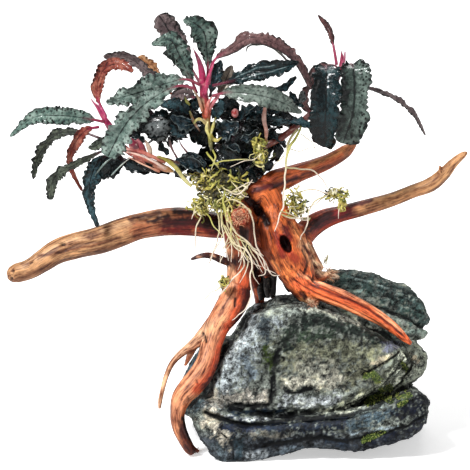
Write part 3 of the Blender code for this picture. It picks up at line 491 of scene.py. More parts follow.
# %% [markdown]
# A line through a few points is made smooth with a Catmull-Rom spline: between two points it is a cubic that
# leaves and arrives in the direction of their neighbours. It works on places and on half thicknesses alike.

# %% A smooth line through points
def smooth_line(places, count):
    places = [np.array(place, dtype=float) for place in places]
    ends = [2 * places[0] - places[1]] + places + [2 * places[-1] - places[-2]]
    line = []
    for row in range(count + 1):
        along = row / count * (len(places) - 1)
        first = min(int(along), len(places) - 2)
        share = along - first
        before, start, end, after = ends[first : first + 4]
        bend = 2 * before - 5 * start + 4 * end - after
        twist = 3 * start - 3 * end + after - before
        line.append(0.5 * (2 * start + (end - before) * share + bend * share**2 + twist * share**3))
    return np.array(line)


print("half way:", smooth_line([(0, 0), (1, 1), (2, 0)], 4)[1].round(2))

# %% [markdown]
# Sculpting is done with numbers: the points and normals of a mesh are read into arrays, moved, and written
# back. What a finish has to know of a point is written beside it as an attribute.

# %% Reading, marking and writing points
def points_of(mesh):
    points = np.empty(len(mesh.vertices) * 3)
    mesh.vertices.foreach_get("co", points)
    normals = np.empty(len(mesh.vertices) * 3)
    mesh.vertex_normals.foreach_get("vector", normals)
    return points.reshape(-1, 3), normals.reshape(-1, 3)


def move_points(mesh, points):
    mesh.vertices.foreach_set("co", points.ravel())
    mesh.update()


def mark(mesh, name, values):
    kind = "FLOAT" if values.ndim == 1 else ("FLOAT_VECTOR" if values.shape[1] == 3 else "FLOAT_COLOR")
    layer = mesh.attributes.new(name, kind, "POINT")
    field = {"FLOAT": "value", "FLOAT_VECTOR": "vector", "FLOAT_COLOR": "color"}[kind]
    layer.data.foreach_set(field, values.astype(np.float32).ravel())


print("arrays ready")

# %% [markdown]
# Strokes are lines on the front drawing with a half width. `near` says how strongly each point lies under one
# of them, and `fronting` how far its face is turned to the viewer. `ripple` is noise of a given size, and
# `swayed` shifts the drawing by such noise, so that no stroke has a straight edge.

# %% Strokes and ripples
def near(spots, line, half):
    gap = np.full(len(spots), 1.0e6)
    for start, end in zip(line, line[1:] + [(line[-1][0] + 0.01, line[-1][1])]):
        start = np.array(start)
        run = np.array(end) - start
        share = np.clip((spots - start) @ run / (run @ run), 0.0, 1.0)
        gap = np.minimum(gap, np.linalg.norm(spots - start - share[:, None] * run, axis=1))
    return np.exp(-((gap / half) ** 2))


def fronting(normals):
    return np.clip(normals @ np.array(TO_VIEWER) * 2.5 + 0.4, 0.0, 1.0)


def ripple(points, size, stretch=(1.0, 1.0, 1.0), seed=0.0):
    scaled = points / (np.array(stretch) * size) + seed
    return np.array([noise.noise(Vector(place)) for place in scaled])


def swayed(points, sway, size, seed):
    bends = [ripple(points, size, seed=seed), ripple(points, size, seed=seed + 6.0)]
    return on_sheet(points) + sway * np.stack(bends, axis=1)


def strongest(spots, strokes, shares):
    most = np.zeros(len(spots))
    for line, half, share in strokes:
        most = np.maximum(most, near(spots, line, half) * share * shares)
    return most


print("strokes ready")

# %% [markdown]
# Hollows are painted darker as shade, and crests lighter as a painted highlight. A point lies in a hollow where the
# average of its neighbours, taken over several rounds, stands above it along its normal.

# %% Hollows and crests
def averaged(mesh, values, rounds):
    edges = np.empty(len(mesh.edges) * 2, dtype=np.int64)
    mesh.edges.foreach_get("vertices", edges)
    first, second = edges.reshape(-1, 2).T
    shares = np.bincount(first, minlength=len(values)) + np.bincount(second, minlength=len(values))
    for _ in range(rounds):
        columns = []
        for column in values.T:
            total = np.bincount(first, column[second], len(values))
            total += np.bincount(second, column[first], len(values))
            columns.append(total / np.maximum(shares, 1))
        values = np.stack(columns, axis=1)
    return values


def sunk(mesh, rounds, full):
    points, normals = points_of(mesh)
    around = averaged(mesh, points, rounds)
    return np.clip(np.einsum("ij,ij->i", around - points, normals) / full, -1.0, 1.0)


print("hollows ready")

# %% [markdown]
# Paint is laid on stroke by stroke, the later over the earlier. Noise frays each stroke's edge by
# `frayed_part`, and `softness` fades it.

# %% Paint
def painted(mesh, tint, strokes, sway, seed, frayed_part, softness):
    points, normals = points_of(mesh)
    facing = fronting(normals)
    warped = swayed(points, sway, 0.006, seed)
    frayed = ripple(points, 0.0016, seed=seed + 12.0) + 0.6 * ripple(points, 0.004, seed=seed + 18.0)
    for line, half, color in strokes:
        under = near(warped, line, half)
        under = under + frayed_part * frayed * np.minimum(under * 4.0, 1.0) - 0.5
        cover = (np.clip(under / softness + 0.5, 0.0, 1.0) * facing)[:, None]
        tint = tint * (1.0 - cover) + np.array(linear(color))[:3] * cover
    mark(mesh, "tint", np.concatenate([tint, np.ones((len(tint), 1))], axis=1))


print("paint ready")

# %% [markdown]
# Finished pieces are made the same way each time: the mesh gets its finishes, rides on the part's one body
# and takes the place of its CAD nodes.

# %% A finished piece
def piece(name, mesh, finishes, slot, *nodes):
    points, _ = points_of(mesh)
    move_points(mesh, np.clip(points, CAD_BOX[0], CAD_BOX[1]))
    mesh.materials.clear()
    for finish in finishes:
        mesh.materials.append(finish)
    obj = bpy.data.objects.new(name, mesh)
    mesh.name = name
    bpy.context.scene.collection.objects.link(obj)
    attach(obj, "root")
    if nodes:
        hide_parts(*nodes)
    mesh.calc_loop_triangles()
    print(name, "has", len(mesh.loop_triangles), "triangles")
    return obj

# %% [markdown]
# ## The rock
#
# The stone is a stack of layers. Each one is an outline on the front drawing, filled, given its depth and
# rounded at its edges. A voxel remesh makes them one skin, strokes cut the cracks, and noise in three sizes
# roughens and pits the faces. A plane at the floor cuts the flat foot that it rests on.

# %% Outlines of the layers, with their front and back depths and the rounding of their edges, in millimetres
BOULDER = [
    (205,400), (212,382), (220,366), (228,350), (238,336), (247,321), (254,314), (266,308), (280,303), (297,301),
    (315,306), (335,313), (355,321), (375,332), (392,344), (402,352), (400,364), (388,377), (372,390), (352,403),
    (330,410), (300,412), (270,414), (245,415), (225,412), (210,408),
]
BOULDER_RIGHT = [
    (330,318), (358,322), (380,336), (400,349), (408,358), (402,368), (392,378), (378,390), (360,402), (338,409),
    (300,412), (300,350),
]
TOP_LAYER = [(258,320), (268,303), (277,297), (295,296), (310,298), (330,306), (350,318), (350,400), (250,400)]
# Painted shade: this layer lies set back where there is only shade, and is painted black with the shadow beside the
# left leg.
SHADOWED_LAYER = [
    (221,366), (226,350), (233,335), (241,322), (248,312), (256,304), (264,302), (276,308), (276,400), (221,400),
]
BACK_SLAB = [
    (318,290), (331,271), (354,272), (376,276), (389,281), (397,285), (407,286), (415,293), (425,305), (427,312),
    (432,320), (431,326), (422,329), (400,333), (370,330), (335,318),
]
BACK_LEDGE = [
    (300,305), (340,300), (380,310), (410,322), (429,333), (426,338), (416,341), (398,347), (370,350), (300,350),
]
RIGHT_LAYER = [
    (340,330), (380,340), (414,341), (423,348), (428,358), (427,370), (421,378), (413,384), (396,392), (370,402),
    (340,405),
]
FOOT_SLAB = [
    (189,409), (199,395), (215,399), (240,412), (270,417), (300,414), (345,410), (370,404), (392,395), (411,386),
    (422,394), (429,401), (425,409), (426,418), (420,429), (407,438), (389,443), (367,449), (354,450), (336,447),
    (309,446), (296,449), (269,457), (243,461), (225,463), (215,456), (203,443), (195,424),
]
LEFT_SHOULDER = [
    (171,407), (175,395), (184,379), (192,362), (203,345), (225,338), (250,350), (260,400), (240,425), (196,420),
]
ROCK_LAYERS = [
    (BOULDER, -44, 20, 9), (BOULDER_RIGHT, -34, 30, 6), (TOP_LAYER, -28, 36, 4), (SHADOWED_LAYER, -7, 34, 4),
    (BACK_SLAB, 2, 52, 6), (BACK_LEDGE, -6, 48, 3), (RIGHT_LAYER, -20, 50, 6), (FOOT_SLAB, -50, 46, 5),
    (LEFT_SHOULDER, -17, 30, 5),
]
print("the rock has", len(ROCK_LAYERS), "layers")

# %% [markdown]
# A flat curve that is filled, extruded and bevelled gives a slab with rounded edges. It is turned to face the
# viewer, and its front and back lie at the depths of its layer. Voxels of 1 mm join the nine slabs.

# %% Slabs, joined in one skin
ROCK_GRAIN = 0.001


def slab(outline, front, back, rounding):
    curve = bpy.data.curves.new("layer", "CURVE")
    curve.dimensions = "2D"
    curve.fill_mode = "BOTH"
    curve.extrude = (back - front) * MM / 2.0 - rounding * MM
    curve.bevel_depth = rounding * MM
    curve.bevel_resolution = 3
    curve.offset = -rounding * MM
    spline = curve.splines.new("POLY")
    spline.points.add(len(outline) - 1)
    spline.use_cyclic_u = True
    for point, (across, down) in zip(spline.points, outline):
        point.co = ((across - MIDDLE_ACROSS) * SQUARE, (FLOOR_DOWN - down) * SQUARE, 0.0, 1.0)
    obj = bpy.data.objects.new("layer", curve)
    turn = Matrix((ACROSS, UP_ON_SHEET, TO_VIEWER)).transposed().to_4x4()
    obj.matrix_world = Matrix.Translation(-TO_VIEWER * (front + back) * MM / 2.0) @ turn
    return settled(obj)


rock = one_skin([slab(*layer) for layer in ROCK_LAYERS], ROCK_GRAIN, 6)
print("the rough rock has", len(rock.vertices), "points")

# %% [markdown]
# The grooves between the layers and the cracks in the boulder are strokes that cut into the front. Each has a
# line on the drawing, a half width in squares and a depth in millimetres. The strokes are warped by noise, so
# that no edge of them runs straight.

# %% Cracks and grooves
CRACKS = [
    ([(206,411), (222,418), (240,423), (262,423), (290,418), (320,417), (345,414), (363,410), (388,399),
     (412,387)], 3.2, 4.5),
    ([(236,405), (252,405), (269,404)], 1.8, 2.2), ([(280,346), (274,360), (273,380)], 3.5, 1.1),
    ([(273,376), (272,388), (271,402)], 1.5, 2.0), ([(286,390), (298,391), (312,388)], 1.4, 1.6),
    ([(398,352), (386,361), (373,368), (361,374)], 1.6, 1.8),
    ([(404,356), (395,371), (381,386), (364,397), (346,405)], 1.5, 1.8),
    ([(413,364), (403,381), (387,395), (369,405)], 1.5, 1.8), ([(426,372), (414,384), (396,394)], 1.4, 1.4),
    ([(362,326), (376,331), (390,337), (400,345)], 1.8, 1.6),
    ([(256,312), (272,306), (290,303), (306,304)], 1.4, 1.4),
    ([(345,440), (368,433), (388,430), (408,424), (424,414)], 1.6, 1.6),
    ([(222,432), (231,442), (234,458)], 1.4, 1.4), ([(262,444), (290,440), (318,436), (345,441)], 2.6, 1.6),
    ([(339,300), (360,303), (384,309), (410,320), (426,330)], 1.5, 1.6),
]
SHELVES = [
    ([(340,281), (362,283), (388,291), (410,301)], 1.0, 0.9),
    ([(338,287), (364,290), (392,299), (420,312)], 0.9, 0.9),
    ([(345,294), (370,297), (396,305), (422,318)], 0.9, 0.8), ([(352,277), (374,280), (398,289)], 0.8, 0.7),
    ([(260,303), (280,299), (300,300)], 0.8, 0.8), ([(352,312), (380,319), (404,327)], 1.0, 0.8),
    ([(352,424), (376,418), (398,409)], 1.0, 0.8), ([(300,430), (330,428), (352,430)], 1.0, 0.7),
]
print("grooves:", len(CRACKS), "and thin ledges:", len(SHELVES))

# %% How deep each point is cut
ROCK_SWAY = (2.2, 0.007, 3.0)
points, normals = points_of(rock)
facing = fronting(normals)
dig = strongest(swayed(points, *ROCK_SWAY), CRACKS + SHELVES, facing)
print("cracks cut", round(float(dig.max()), 1), "mm deep")

# %% [markdown]
# The same broad noise as in the CAD solid keeps the outline where it was. A finer noise makes the lumps of the
# faces, and the finest, where it is deepest, the pits. Chips are the cells of a Voronoi pattern, each tilted
# its own way, so that their edges are crisp. On the sides thin ledges stand out, tilted a little as the rock
# lies.

# %% Rough, pitted faces and ledges
BROAD_SIZE, BROAD_HEIGHT = 0.011, 0.0012
LEDGE_STEP, LEDGE_DEPTH = 0.0045, 0.0007
CHIP_SIZES = ((0.0085, 0.11, 3.0), (0.0036, 0.13, 7.0))
PIT_SIZE, PIT_DEPTH = 0.0021, 0.0014
broad = ripple(points, BROAD_SIZE, (1.6, 1.6, 0.7)) * BROAD_HEIGHT
layer_height = points @ np.array([0.10, -0.05, 0.99]) + 0.0035 * ripple(points, 0.028, seed=5.0)
ledge = (layer_height / LEDGE_STEP) % 1.0
upright = (1.0 - np.clip(np.abs(normals[:, 2]) * 1.4 - 0.3, 0.0, 1.0)) * (1.0 - 0.8 * facing)
saw = np.clip(ledge / 0.8, 0.0, 1.0) - np.clip((ledge - 0.8) / 0.2, 0.0, 1.0)
shelves = (saw - 0.4) * LEDGE_DEPTH * upright
chips = np.zeros(len(points))
for size, slope, offset in CHIP_SIZES:
    for row, (x, y, z) in enumerate(points / size + offset):
        heart = noise.voronoi((x, y, z * 1.4))[1][0]
        tilt_x = sin(heart.x * 12.9 + heart.z * 7.7) * (x - heart.x)
        tilt_y = sin(heart.y * 9.1 + heart.x * 5.3) * (y - heart.y)
        tilt_z = sin(heart.z * 11.3 + heart.y * 3.9) * (z - heart.z / 1.4)
        chips[row] += size * slope * (tilt_x + tilt_y + tilt_z)
lumps = ripple(points, 0.0045, (1.3, 1.3, 0.8), seed=6.0) * 0.0004 + chips
pits = np.clip(ripple(points, PIT_SIZE, seed=2.0) - 0.12, 0.0, 0.4)
skin = ripple(points, 0.0016, (1.3, 1.3, 0.8), seed=8.0) * 0.0003 - pits * PIT_DEPTH
moved = points + normals * (broad + shelves + lumps + skin - dig * MM)[:, None]
moved[:, 2] = np.where(points[:, 2] < 0.001, points[:, 2], moved[:, 2])
move_points(rock, moved)
print("the deepest point went in", round(1000 * float(np.linalg.norm(moved - points, axis=1).max()), 1), "mm")

# %% [markdown]
# The foot is cut flat with a plane.

# %% Cut the foot
def flat_foot(mesh):
    body = bmesh.new()
    body.from_mesh(mesh)
    everything = body.verts[:] + body.edges[:] + body.faces[:]
    cut = bmesh.ops.bisect_plane(body, geom=everything, plane_co=(0, 0, 0), plane_no=(0, 0, -1), clear_outer=True)
    rim = [edge for edge in cut["geom_cut"] if isinstance(edge, bmesh.types.BMEdge)]
    bmesh.ops.holes_fill(body, edges=rim, sides=0)
    bmesh.ops.triangulate(body, faces=[face for face in body.faces if len(face.verts) > 4])
    body.to_mesh(mesh)
    body.free()


flat_foot(rock)
print("the foot lies at", round(1000 * min(vertex.co.z for vertex in rock.vertices), 3), "mm")

# %% [markdown]
# The rock's colours are painted on with broad strokes, the later ones over the earlier: a blue-grey and beige
# left face, an olive middle and a green-black slab at the back. Painted light is among them: painted highlights on
# the left face and along the edges of the ledges, and painted shade as a dark green brow over the middle, black
# seams, a black shadow beside the left leg and a navy foot under the boulder. The finish breaks them up.

# %% Paint strokes on the drawing, painted shade and highlights among them: line, half width in squares, color
ROCK_PAINT_AND_PAINTED_LIGHT = [
    ([(335,278), (380,286), (412,300), (428,320)], 15, "#243230"),
    ([(345,310), (374,318), (398,326)], 5, "#5c675f"), ([(388,338), (410,334), (426,332)], 4, "#59665f"),
    ([(340,288), (372,293), (404,306)], 2, "#4b5a56"), ([(352,279), (384,287), (408,298)], 1.5, "#556260"),
    # Painted shade: a black strip along the top of the boulder, where the wood lies over it.
    ([(250,312), (258,304), (272,299), (300,298), (320,304)], 6.5, "#05080b"),
    ([(176,396), (190,368), (206,345)], 13, "#243540"), ([(180,412), (196,404), (206,398)], 8, "#1d2a2e"),
    ([(222,394), (232,366), (248,336), (262,322)], 17, "#747b7e"),
    # Painted highlights: the light patch on the left face and the pale top edge.
    ([(228,374), (240,350), (252,334)], 8, "#8b9395"), ([(262,314), (280,309), (302,308)], 5, "#737a74"),
    ([(262,322), (268,342)], 6, "#353d41"), ([(244,358), (252,374)], 6, "#566067"),
    ([(214,399), (240,396), (266,398)], 7, "#87837a"), ([(292,352), (330,352), (372,350)], 18, "#5a5c4c"),
    ([(345,378), (372,368)], 9, "#5f604f"),
    # Painted shade: the dark green brow over the olive middle.
    ([(286,344), (296,326), (312,319), (336,325), (362,331), (386,338)], 8, "#161f1a"),
    ([(300,336), (332,334)], 5, "#263026"), ([(304,366), (332,372)], 10, "#76766a"),
    ([(288,382), (316,384), (338,380)], 7, "#8f8d80"),
    # Painted highlight: the thin light line along the top edge.
    ([(300,309), (322,312), (350,320), (382,332)], 1.8, "#8e9286"), ([(385,346), (397,345)], 5, "#555866"),
    ([(372,362), (384,358), (394,353)], 2.5, "#98907c"), ([(284,401), (310,403), (336,400)], 6, "#858a8c"),
    # Painted light down to the black band under the boulder: black shade in the cracks and seams, navy shade under
    # the boulder, and a thin painted highlight along its lower edge.
    ([(290,334), (284,344)], 4, "#121812"), ([(279,350), (275,358), (273,372)], 5, "#0a100a"),
    ([(265,350), (270,368)], 4.5, "#27330f"), ([(273,378), (272,401)], 2.8, "#020303"),
    ([(288,390), (300,391), (312,388)], 2.2, "#090a0c"), ([(232,410), (262,412), (284,410)], 4, "#17232e"),
    ([(238,405), (252,405), (268,404)], 2.6, "#050607"),
    ([(212,411), (236,417), (262,418), (286,414)], 1.6, "#a4aaac"),
    ([(222,421), (262,425), (300,419), (350,418), (374,410)], 6, "#04070e"),
    ([(412,350), (424,362), (418,378)], 9, "#6a6e62"), ([(410,354), (416,360)], 4, "#857b67"),
    ([(390,372), (404,356)], 8, "#60665a"), ([(352,400), (372,386), (388,372)], 5, "#676a5c"),
    # Painted shade in a groove, then painted highlights along the edges of the ledges.
    ([(408,359), (398,375), (384,389), (366,400)], 2.4, "#0d110a"),
    ([(402,354), (394,369), (380,384), (362,396), (346,404), (322,411)], 2.2, "#c4c8b4"),
    ([(414,366), (403,383), (387,397), (366,407), (340,413)], 2.4, "#b0b4a4"),
    ([(386,387), (401,376), (413,368)], 5.0, "#bcc0b0"), ([(396,392), (409,383), (420,373)], 3.5, "#83887a"),
    ([(210,418), (221,428), (227,438)], 10, "#9a9486"), ([(216,446), (224,456)], 6, "#333c40"),
    # From here the navy and black strokes are painted shade under the boulder, in the grooves and at the foot.
    ([(233,438), (241,448), (236,459)], 7, "#18242a"), ([(226,424), (262,428), (300,425), (348,423)], 7, "#171f2f"),
    ([(254,433), (272,434), (290,434)], 4, "#5a5850"), ([(262,452), (250,457)], 6, "#666b6e"),
    ([(280,450), (300,445)], 5, "#3a434a"), ([(262,424), (300,426), (342,424)], 6, "#141c28"),
    ([(256,445), (290,440), (318,436), (345,441), (362,446)], 5.5, "#020409"),
    ([(352,423), (376,416), (398,407)], 6, "#36444b"), ([(356,412), (384,402)], 3, "#7b8784"),
    ([(402,410), (420,402), (427,412)], 12, "#060a16"), ([(366,440), (405,430), (422,420)], 9, "#050a16"),
    ([(350,432), (372,429), (396,424)], 2, "#78858b"), ([(330,440), (352,446)], 4, "#141c26"),
    # Painted shadow between the left leg and the boulder.
    ([(246,318), (234,336), (223,354), (213,374), (203,393)], 4.0, "#040506"),
]
MOSSY = [
    ([(364,376), (372,372), (378,378)], 4.5, 1.0), ([(382,390), (390,387)], 3.5, 1.0),
    ([(368,402), (380,396), (390,399)], 4.5, 1.0), ([(402,364), (406,369)], 3, 1.0),
    ([(398,396), (408,394)], 3.5, 1.0), ([(362,438), (374,435), (382,430)], 4, 1.0),
    ([(398,404), (404,400)], 3, 1.0),
]
print("paint strokes:", len(ROCK_PAINT_AND_PAINTED_LIGHT), "and mossy places:", len(MOSSY))

# %% [markdown]
# The ground colour is a grey that turns to a dark navy toward the foot, as painted shade low down. The grooves are
# marked again, a little narrower, so that their painted shade lies in their depth, and the piece then takes the
# place of the CAD's stone.

# %% The rock painted and finished
points, normals = points_of(rock)
# Painted shade: the ground colour turns dark navy toward the floor.
low = np.clip((0.020 - points[:, 2]) / 0.006, 0.0, 1.0)[:, None] * 0.75
tint = np.array(linear("#5b605a"))[:3] * (1.0 - low) + np.array(linear("#10182a"))[:3] * low
painted(rock, tint, ROCK_PAINT_AND_PAINTED_LIGHT, 4.0, 13.0, 1.2, 0.45)
warped = swayed(points, *ROCK_SWAY)
# The grooves, narrower, for the painted shade in their depth.
narrower = [(line, half * 0.7, min(depth / 1.6, 1.0)) for line, half, depth in CRACKS + SHELVES]
mark(rock, "crack", strongest(warped, narrower, fronting(normals)))
mark(rock, "mossy", strongest(warped, MOSSY, fronting(normals)))
mark(rock, "hollow", sunk(rock, 12, 0.0010))
piece("stone_layers", rock, [ROCK], "rock", "stone")

# %% [markdown]
# ## The driftwood
#
# The wood is one grown thing: a trunk of two masses, limbs that leave it to both sides and legs that come down
# on and over the rock. Each limb is a line through points of the drawing with its half thickness. The shells
# overlap where they meet, and one voxel skin joins them, so no seam shows where a limb leaves the trunk.

# %% Lines of the limbs: squares across, squares down, millimetres back, half thickness in squares
LIMBS = {
    "left_mass": [
        (246,196,-2,8), (240,213,-4,13), (240,235,-6,16), (241,260,-8,14), (239,280,-11,13), (236,292,-13,13.5),
    ],
    "right_mass": [
        (236,216,0,10), (250,200,2,12), (263,192,3,13), (272,205,2,13), (276,222,-1,18), (284,243,-3,23),
        (292,262,-5,21), (301,281,-7,16), (309,295,-9,11), (314,303,-10,6), (315,308,-10,2),
    ],
    "bridge": [(236,222,2,12), (252,232,4,16), (268,240,4,17), (286,238,4,18), (300,240,4,14)],
    "heel": [(292,262,0,14), (308,272,3,11), (320,276,5,6), (331,274,6,2)],
    "bark_edge": [(296,236,4,8), (306,247,2,7), (312,259,2,7), (320,270,4,5)],
    "web": [(247,203,3,8), (251,216,4,10), (252,231,5,12), (257,247,5,12), (263,262,3,10), (272,274,0,8)],
    "left_limb": [
        (240,226,4,12), (215,225,4,13), (190,222,3,14), (165,222,1,14), (142,226,-1,13), (120,233,-3,14),
        (99,240,-5,14), (75,246,-7,13), (57,252,-9,12), (43,261,-10,11.5), (30,269,-10,10.5), (17,273,-10,10),
        (11,274.5,-10,8), (7.5,275,-10,4),
    ],
    "right_upper_limb": [
        (267,187,5,11), (275,182,7.5,12), (285,178,10,11), (300,172,14,9.5), (317,166,18,8.5), (333,159,22,7.5),
        (346,151,25,6.5), (353,145,27,4), (358,139,28,1),
    ],
    "right_lower_limb": [
        (292,246,6,12), (303,235,9,12), (313,226,12,11), (325,219,14,10), (340,214,16,8.5), (355,210,18,8),
        (370,206,19,7.5), (394,199,20,7), (414,191,20,7), (432,184,20,7.5), (445,173,19,6.5), (454,163,18,5),
        (464,154.5,17,3.5), (468,152,16.5,1.5),
    ],
    "right_nub": [(445,176,19,4), (441,169,16.5,2.6), (440,165,15.8,1)],
    "left_leg": [
        (237,286,-12,13), (235,297,-14,15), (228,310,-17,14.5), (218,325,-21,12), (212,342,-26,10),
        (207,362,-31,11), (200,375,-34,12), (191,386,-37,11.5), (182,397,-39,10), (178,411,-39,7.5),
        (179,425,-38,7), (184,438,-37,6), (190,449,-36,5.5), (193,453.5,-36,3),
    ],
    "left_toe": [(186,443,-36.4,3.6), (194,449,-35.2,3.1), (199.5,451,-34.6,1.4)],
    "side_root": [
        (214,322,-18,8), (203,336,-18,7.5), (193,345,-19,5.5), (183,352,-19,4), (173,362,-20,3.2),
        (167,374,-20,2.7), (163,388,-20,2.4), (160,402,-20,2.3), (159.5,409,-20,1.4),
    ],
    "side_spur": [(194,346,-18,4), (189,357,-16,3), (185,366,-15,1.4)],
    "right_leg": [
        (303,284,-9,9), (320,291,-12,9.5), (340,298,-14,9), (357,306,-15,8.5), (372,314,-15,7.5), (385,322,-14,6.5),
        (398,332,-13,5), (406,339.5,-12.5,3.5), (411.5,344,-12,1.8),
    ],
    "back_root": [(252,268,4,7), (256,280,9,6.5), (259,292,15,6), (260,303,20,5)],
    "thin_back_root": [(270,270,8,3.5), (271,283,14,2.6), (272,298,20,2.2)],
    "twig": [(234,264,-8,4), (222,260,-14,4), (210,255.5,-17,3.4), (200,256,-18,2.6), (191,259.5,-18,1.6)],
    "stub": [(243,222,-8,8), (240,218,-16,8.5), (239,216.5,-21,9), (239,216,-23,7)],
}
print("the driftwood has", len(LIMBS), "limbs")

# %% One skin over all limbs
WOOD_GRAIN = 0.0007
wood = one_skin([rods([on_drawing(path)], 4, 6) for path in LIMBS.values()], WOOD_GRAIN, 5)
print("the rough wood has", len(wood.vertices), "points")

# %% [markdown]
# To lay the grain, every point of the skin looks for the nearest place on the lines of the limbs, measured in
# half thicknesses so that a thick limb reaches further. A frame carried along each line then gives how far the
# point lies beside the line, in two directions, and how far along it.

# %% Frames carried along a line
def carried_frames(line):
    ahead = np.gradient(line, axis=0)
    ahead /= np.linalg.norm(ahead, axis=1)[:, None]
    aside = np.cross(ahead[0], (0.0, -1.0, 0.2))
    frames = []
    for direction in ahead:
        aside = aside - direction * (aside @ direction)
        aside /= np.linalg.norm(aside)
        frames.append((aside, np.cross(direction, aside), direction))
    return frames


print("frames ready")

# %% Grain laid on every point
def lay_grain(points, limbs):
    rows = []
    for number, path in enumerate(limbs.values()):
        count = 10 * (len(path) - 1)
        line = smooth_line([(*place, half) for place, half in on_drawing(path)], count)
        length = np.concatenate([[0.0], np.cumsum(np.linalg.norm(np.diff(line[:, :3], axis=0), axis=1))])
        for place, frame_here, far in zip(line, carried_frames(line[:, :3]), length):
            rows.append((place[:3], max(place[3], 0.001), frame_here, far + number * 0.31))
    tree = KDTree(len(rows))
    for number, row in enumerate(rows):
        tree.insert(Vector(row[0]), number)
    tree.balance()
    grain = np.empty((len(points), 3))
    girth = np.empty(len(points))
    for number, point in enumerate(points):
        found = tree.find_n(Vector(point), 24)
        chosen = min(found, key=lambda near_one: near_one[2] / rows[near_one[1]][1])[1]
        place, half, (aside, raised, ahead), far = rows[chosen]
        away = point - place
        grain[number] = (away @ aside, away @ raised, far + away @ ahead)
        girth[number] = half
    return grain / MM, girth / MM


points, normals = points_of(wood)
grain, girth = lay_grain(points, LIMBS)
print("grain laid, limbs up to", round(2 * float(girth.max()), 1), "mm thick")

# %% [markdown]
# Worn grain is a set of ridges with narrow clefts between them. Where a stretched noise passes through zero it
# draws long closed lines, and the wood is pushed in along them, most of all on the ridged right leg. Strokes on
# the drawing add the deeper places: the dark fold at the top of the trunk, the hollow, the slits and the knot
# holes.

# %% Clefts, strokes and the hollow
DENTS = [
    ([(247,198), (254,206), (261,214), (267,223)], 3.4, 3.0),
    ([(241,230), (247,246), (253,262), (257,276)], 3.4, 2.0), ([(235.5,298), (235,306)], 1.3, 1.6),
    ([(63,244), (65,244)], 2.0, 1.4), ([(14,270), (14.2,271)], 1.2, 1.2), ([(12,278), (12.2,280)], 1.4, 1.3),
    ([(31,263), (33,262)], 1.0, 0.8), ([(140,219), (158,216)], 2.2, 0.9),
    ([(300,270), (318,283), (340,293), (366,307), (392,325), (405,337)], 1.3, 1.1),
    ([(296,281), (314,293), (336,302), (362,314), (388,330)], 1.1, 0.9),
    ([(286,262), (300,276), (318,288), (345,298)], 1.0, 0.8), ([(303,293), (306,298)], 1.8, 1.2),
    ([(268,228), (272,244), (270,258), (280,272)], 1.2, 0.7), ([(303,250), (308,262), (306,272)], 1.6, 1.3),
    ([(291,222), (302,238), (308,252)], 1.3, 0.8), ([(270,190), (282,183), (300,178)], 1.2, 0.8),
    ([(228,325), (231,331), (228,337)], 1.0, 0.6), ([(203,333), (206,341)], 1.5, 1.6),
    ([(316,273), (313,280), (318,284)], 1.6, 1.2), ([(281,292), (290,300)], 1.4, 0.8),
    ([(197,379), (198,382)], 1.2, 0.9), ([(188,395), (189,398)], 1.0, 0.8), ([(210,346), (210.5,348)], 1.0, 0.6),
    ([(272,256), (274,260)], 1.6, 0.9), ([(182,428), (187,438)], 1.4, 0.8), ([(340,292), (343,294)], 1.2, 0.6),
    ([(313,256), (315,259)], 1.4, 0.8), ([(100,242), (118,238)], 1.0, 0.5),
]
RIDGED = [
    ([(296,270), (340,298), (405,338)], 16, 1.0), ([(264,192), (272,215), (290,255)], 16, 0.6),
    ([(240,230), (240,280)], 12, 0.5), ([(10,274), (110,238), (210,226)], 14, 0.55),
    ([(300,240), (340,214), (464,155)], 10, 0.5), ([(280,180), (356,140)], 10, 0.6),
]
print("dents:", len(DENTS))

# %% Clefts and dents
spots = on_sheet(points)
facing = fronting(normals)
size = np.clip(girth / 7.0, 0.25, 1.3)
# Width and length in millimetres, and a shift, of the wide clefts, the fine ones and the lumps.
GRAIN_SIZES = ((2.6, 34.0, 0.0), (1.1, 20.0, 7.0), (8.0, 22.0, 3.0))
wide, fine, lumps = [
    np.array([noise.noise(Vector((a / across, b / across, c / along + shift))) for a, b, c in grain])
    for across, along, shift in GRAIN_SIZES
]
ridged = np.maximum(0.2, strongest(spots, RIDGED, 1.0))
cleft = np.exp(-((wide / 0.10) ** 2))
slit = np.exp(-((fine / 0.09) ** 2))
push = (0.55 * lumps - 0.62 * cleft * ridged - 0.16 * slit * ridged + 0.22) * size
shade = np.zeros(len(points))
for line, half, depth in DENTS:
    touch = near(spots, line, half) * facing
    push -= touch * depth
    # Painted shade: each dent is also darkened through `shade`.
    shade = np.maximum(shade, touch * min(0.8, 0.45 * depth))
moved = points + normals * (push * MM)[:, None]
print("pushed by up to", round(float(np.abs(push).max()), 1), "mm")

# %% [markdown]
# The hollow in the right trunk is an ellipse that leans with the grain. Its points are pushed straight back
# from the viewer, which gives it steep sides, and it is painted dark as shade.

# %% The hollow
HOLLOW = ((285.5, 244.0), (5.2, 10.0), radians(-27.0), 9.0)
(middle_across, middle_down), (half_across, half_down), lean, depth = HOLLOW
from_middle = spots - np.array((middle_across, middle_down))
turned = from_middle @ np.array([[cos(lean), -sin(lean)], [sin(lean), cos(lean)]])
inside = 1.0 - (turned[:, 0] / half_across) ** 2 - (turned[:, 1] / half_down) ** 2
opening = np.clip(inside, 0.0, 1.0) ** 0.8 * (normals @ np.array(TO_VIEWER) > 0.0)
moved -= np.array(TO_VIEWER) * (opening * depth * MM)[:, None]
# Painted shade: the hollow is darkened through `shade`.
shade = np.maximum(shade, np.clip(opening * 2.5, 0.0, 1.0))
move_points(wood, moved)
print("the hollow is", depth, "mm deep")

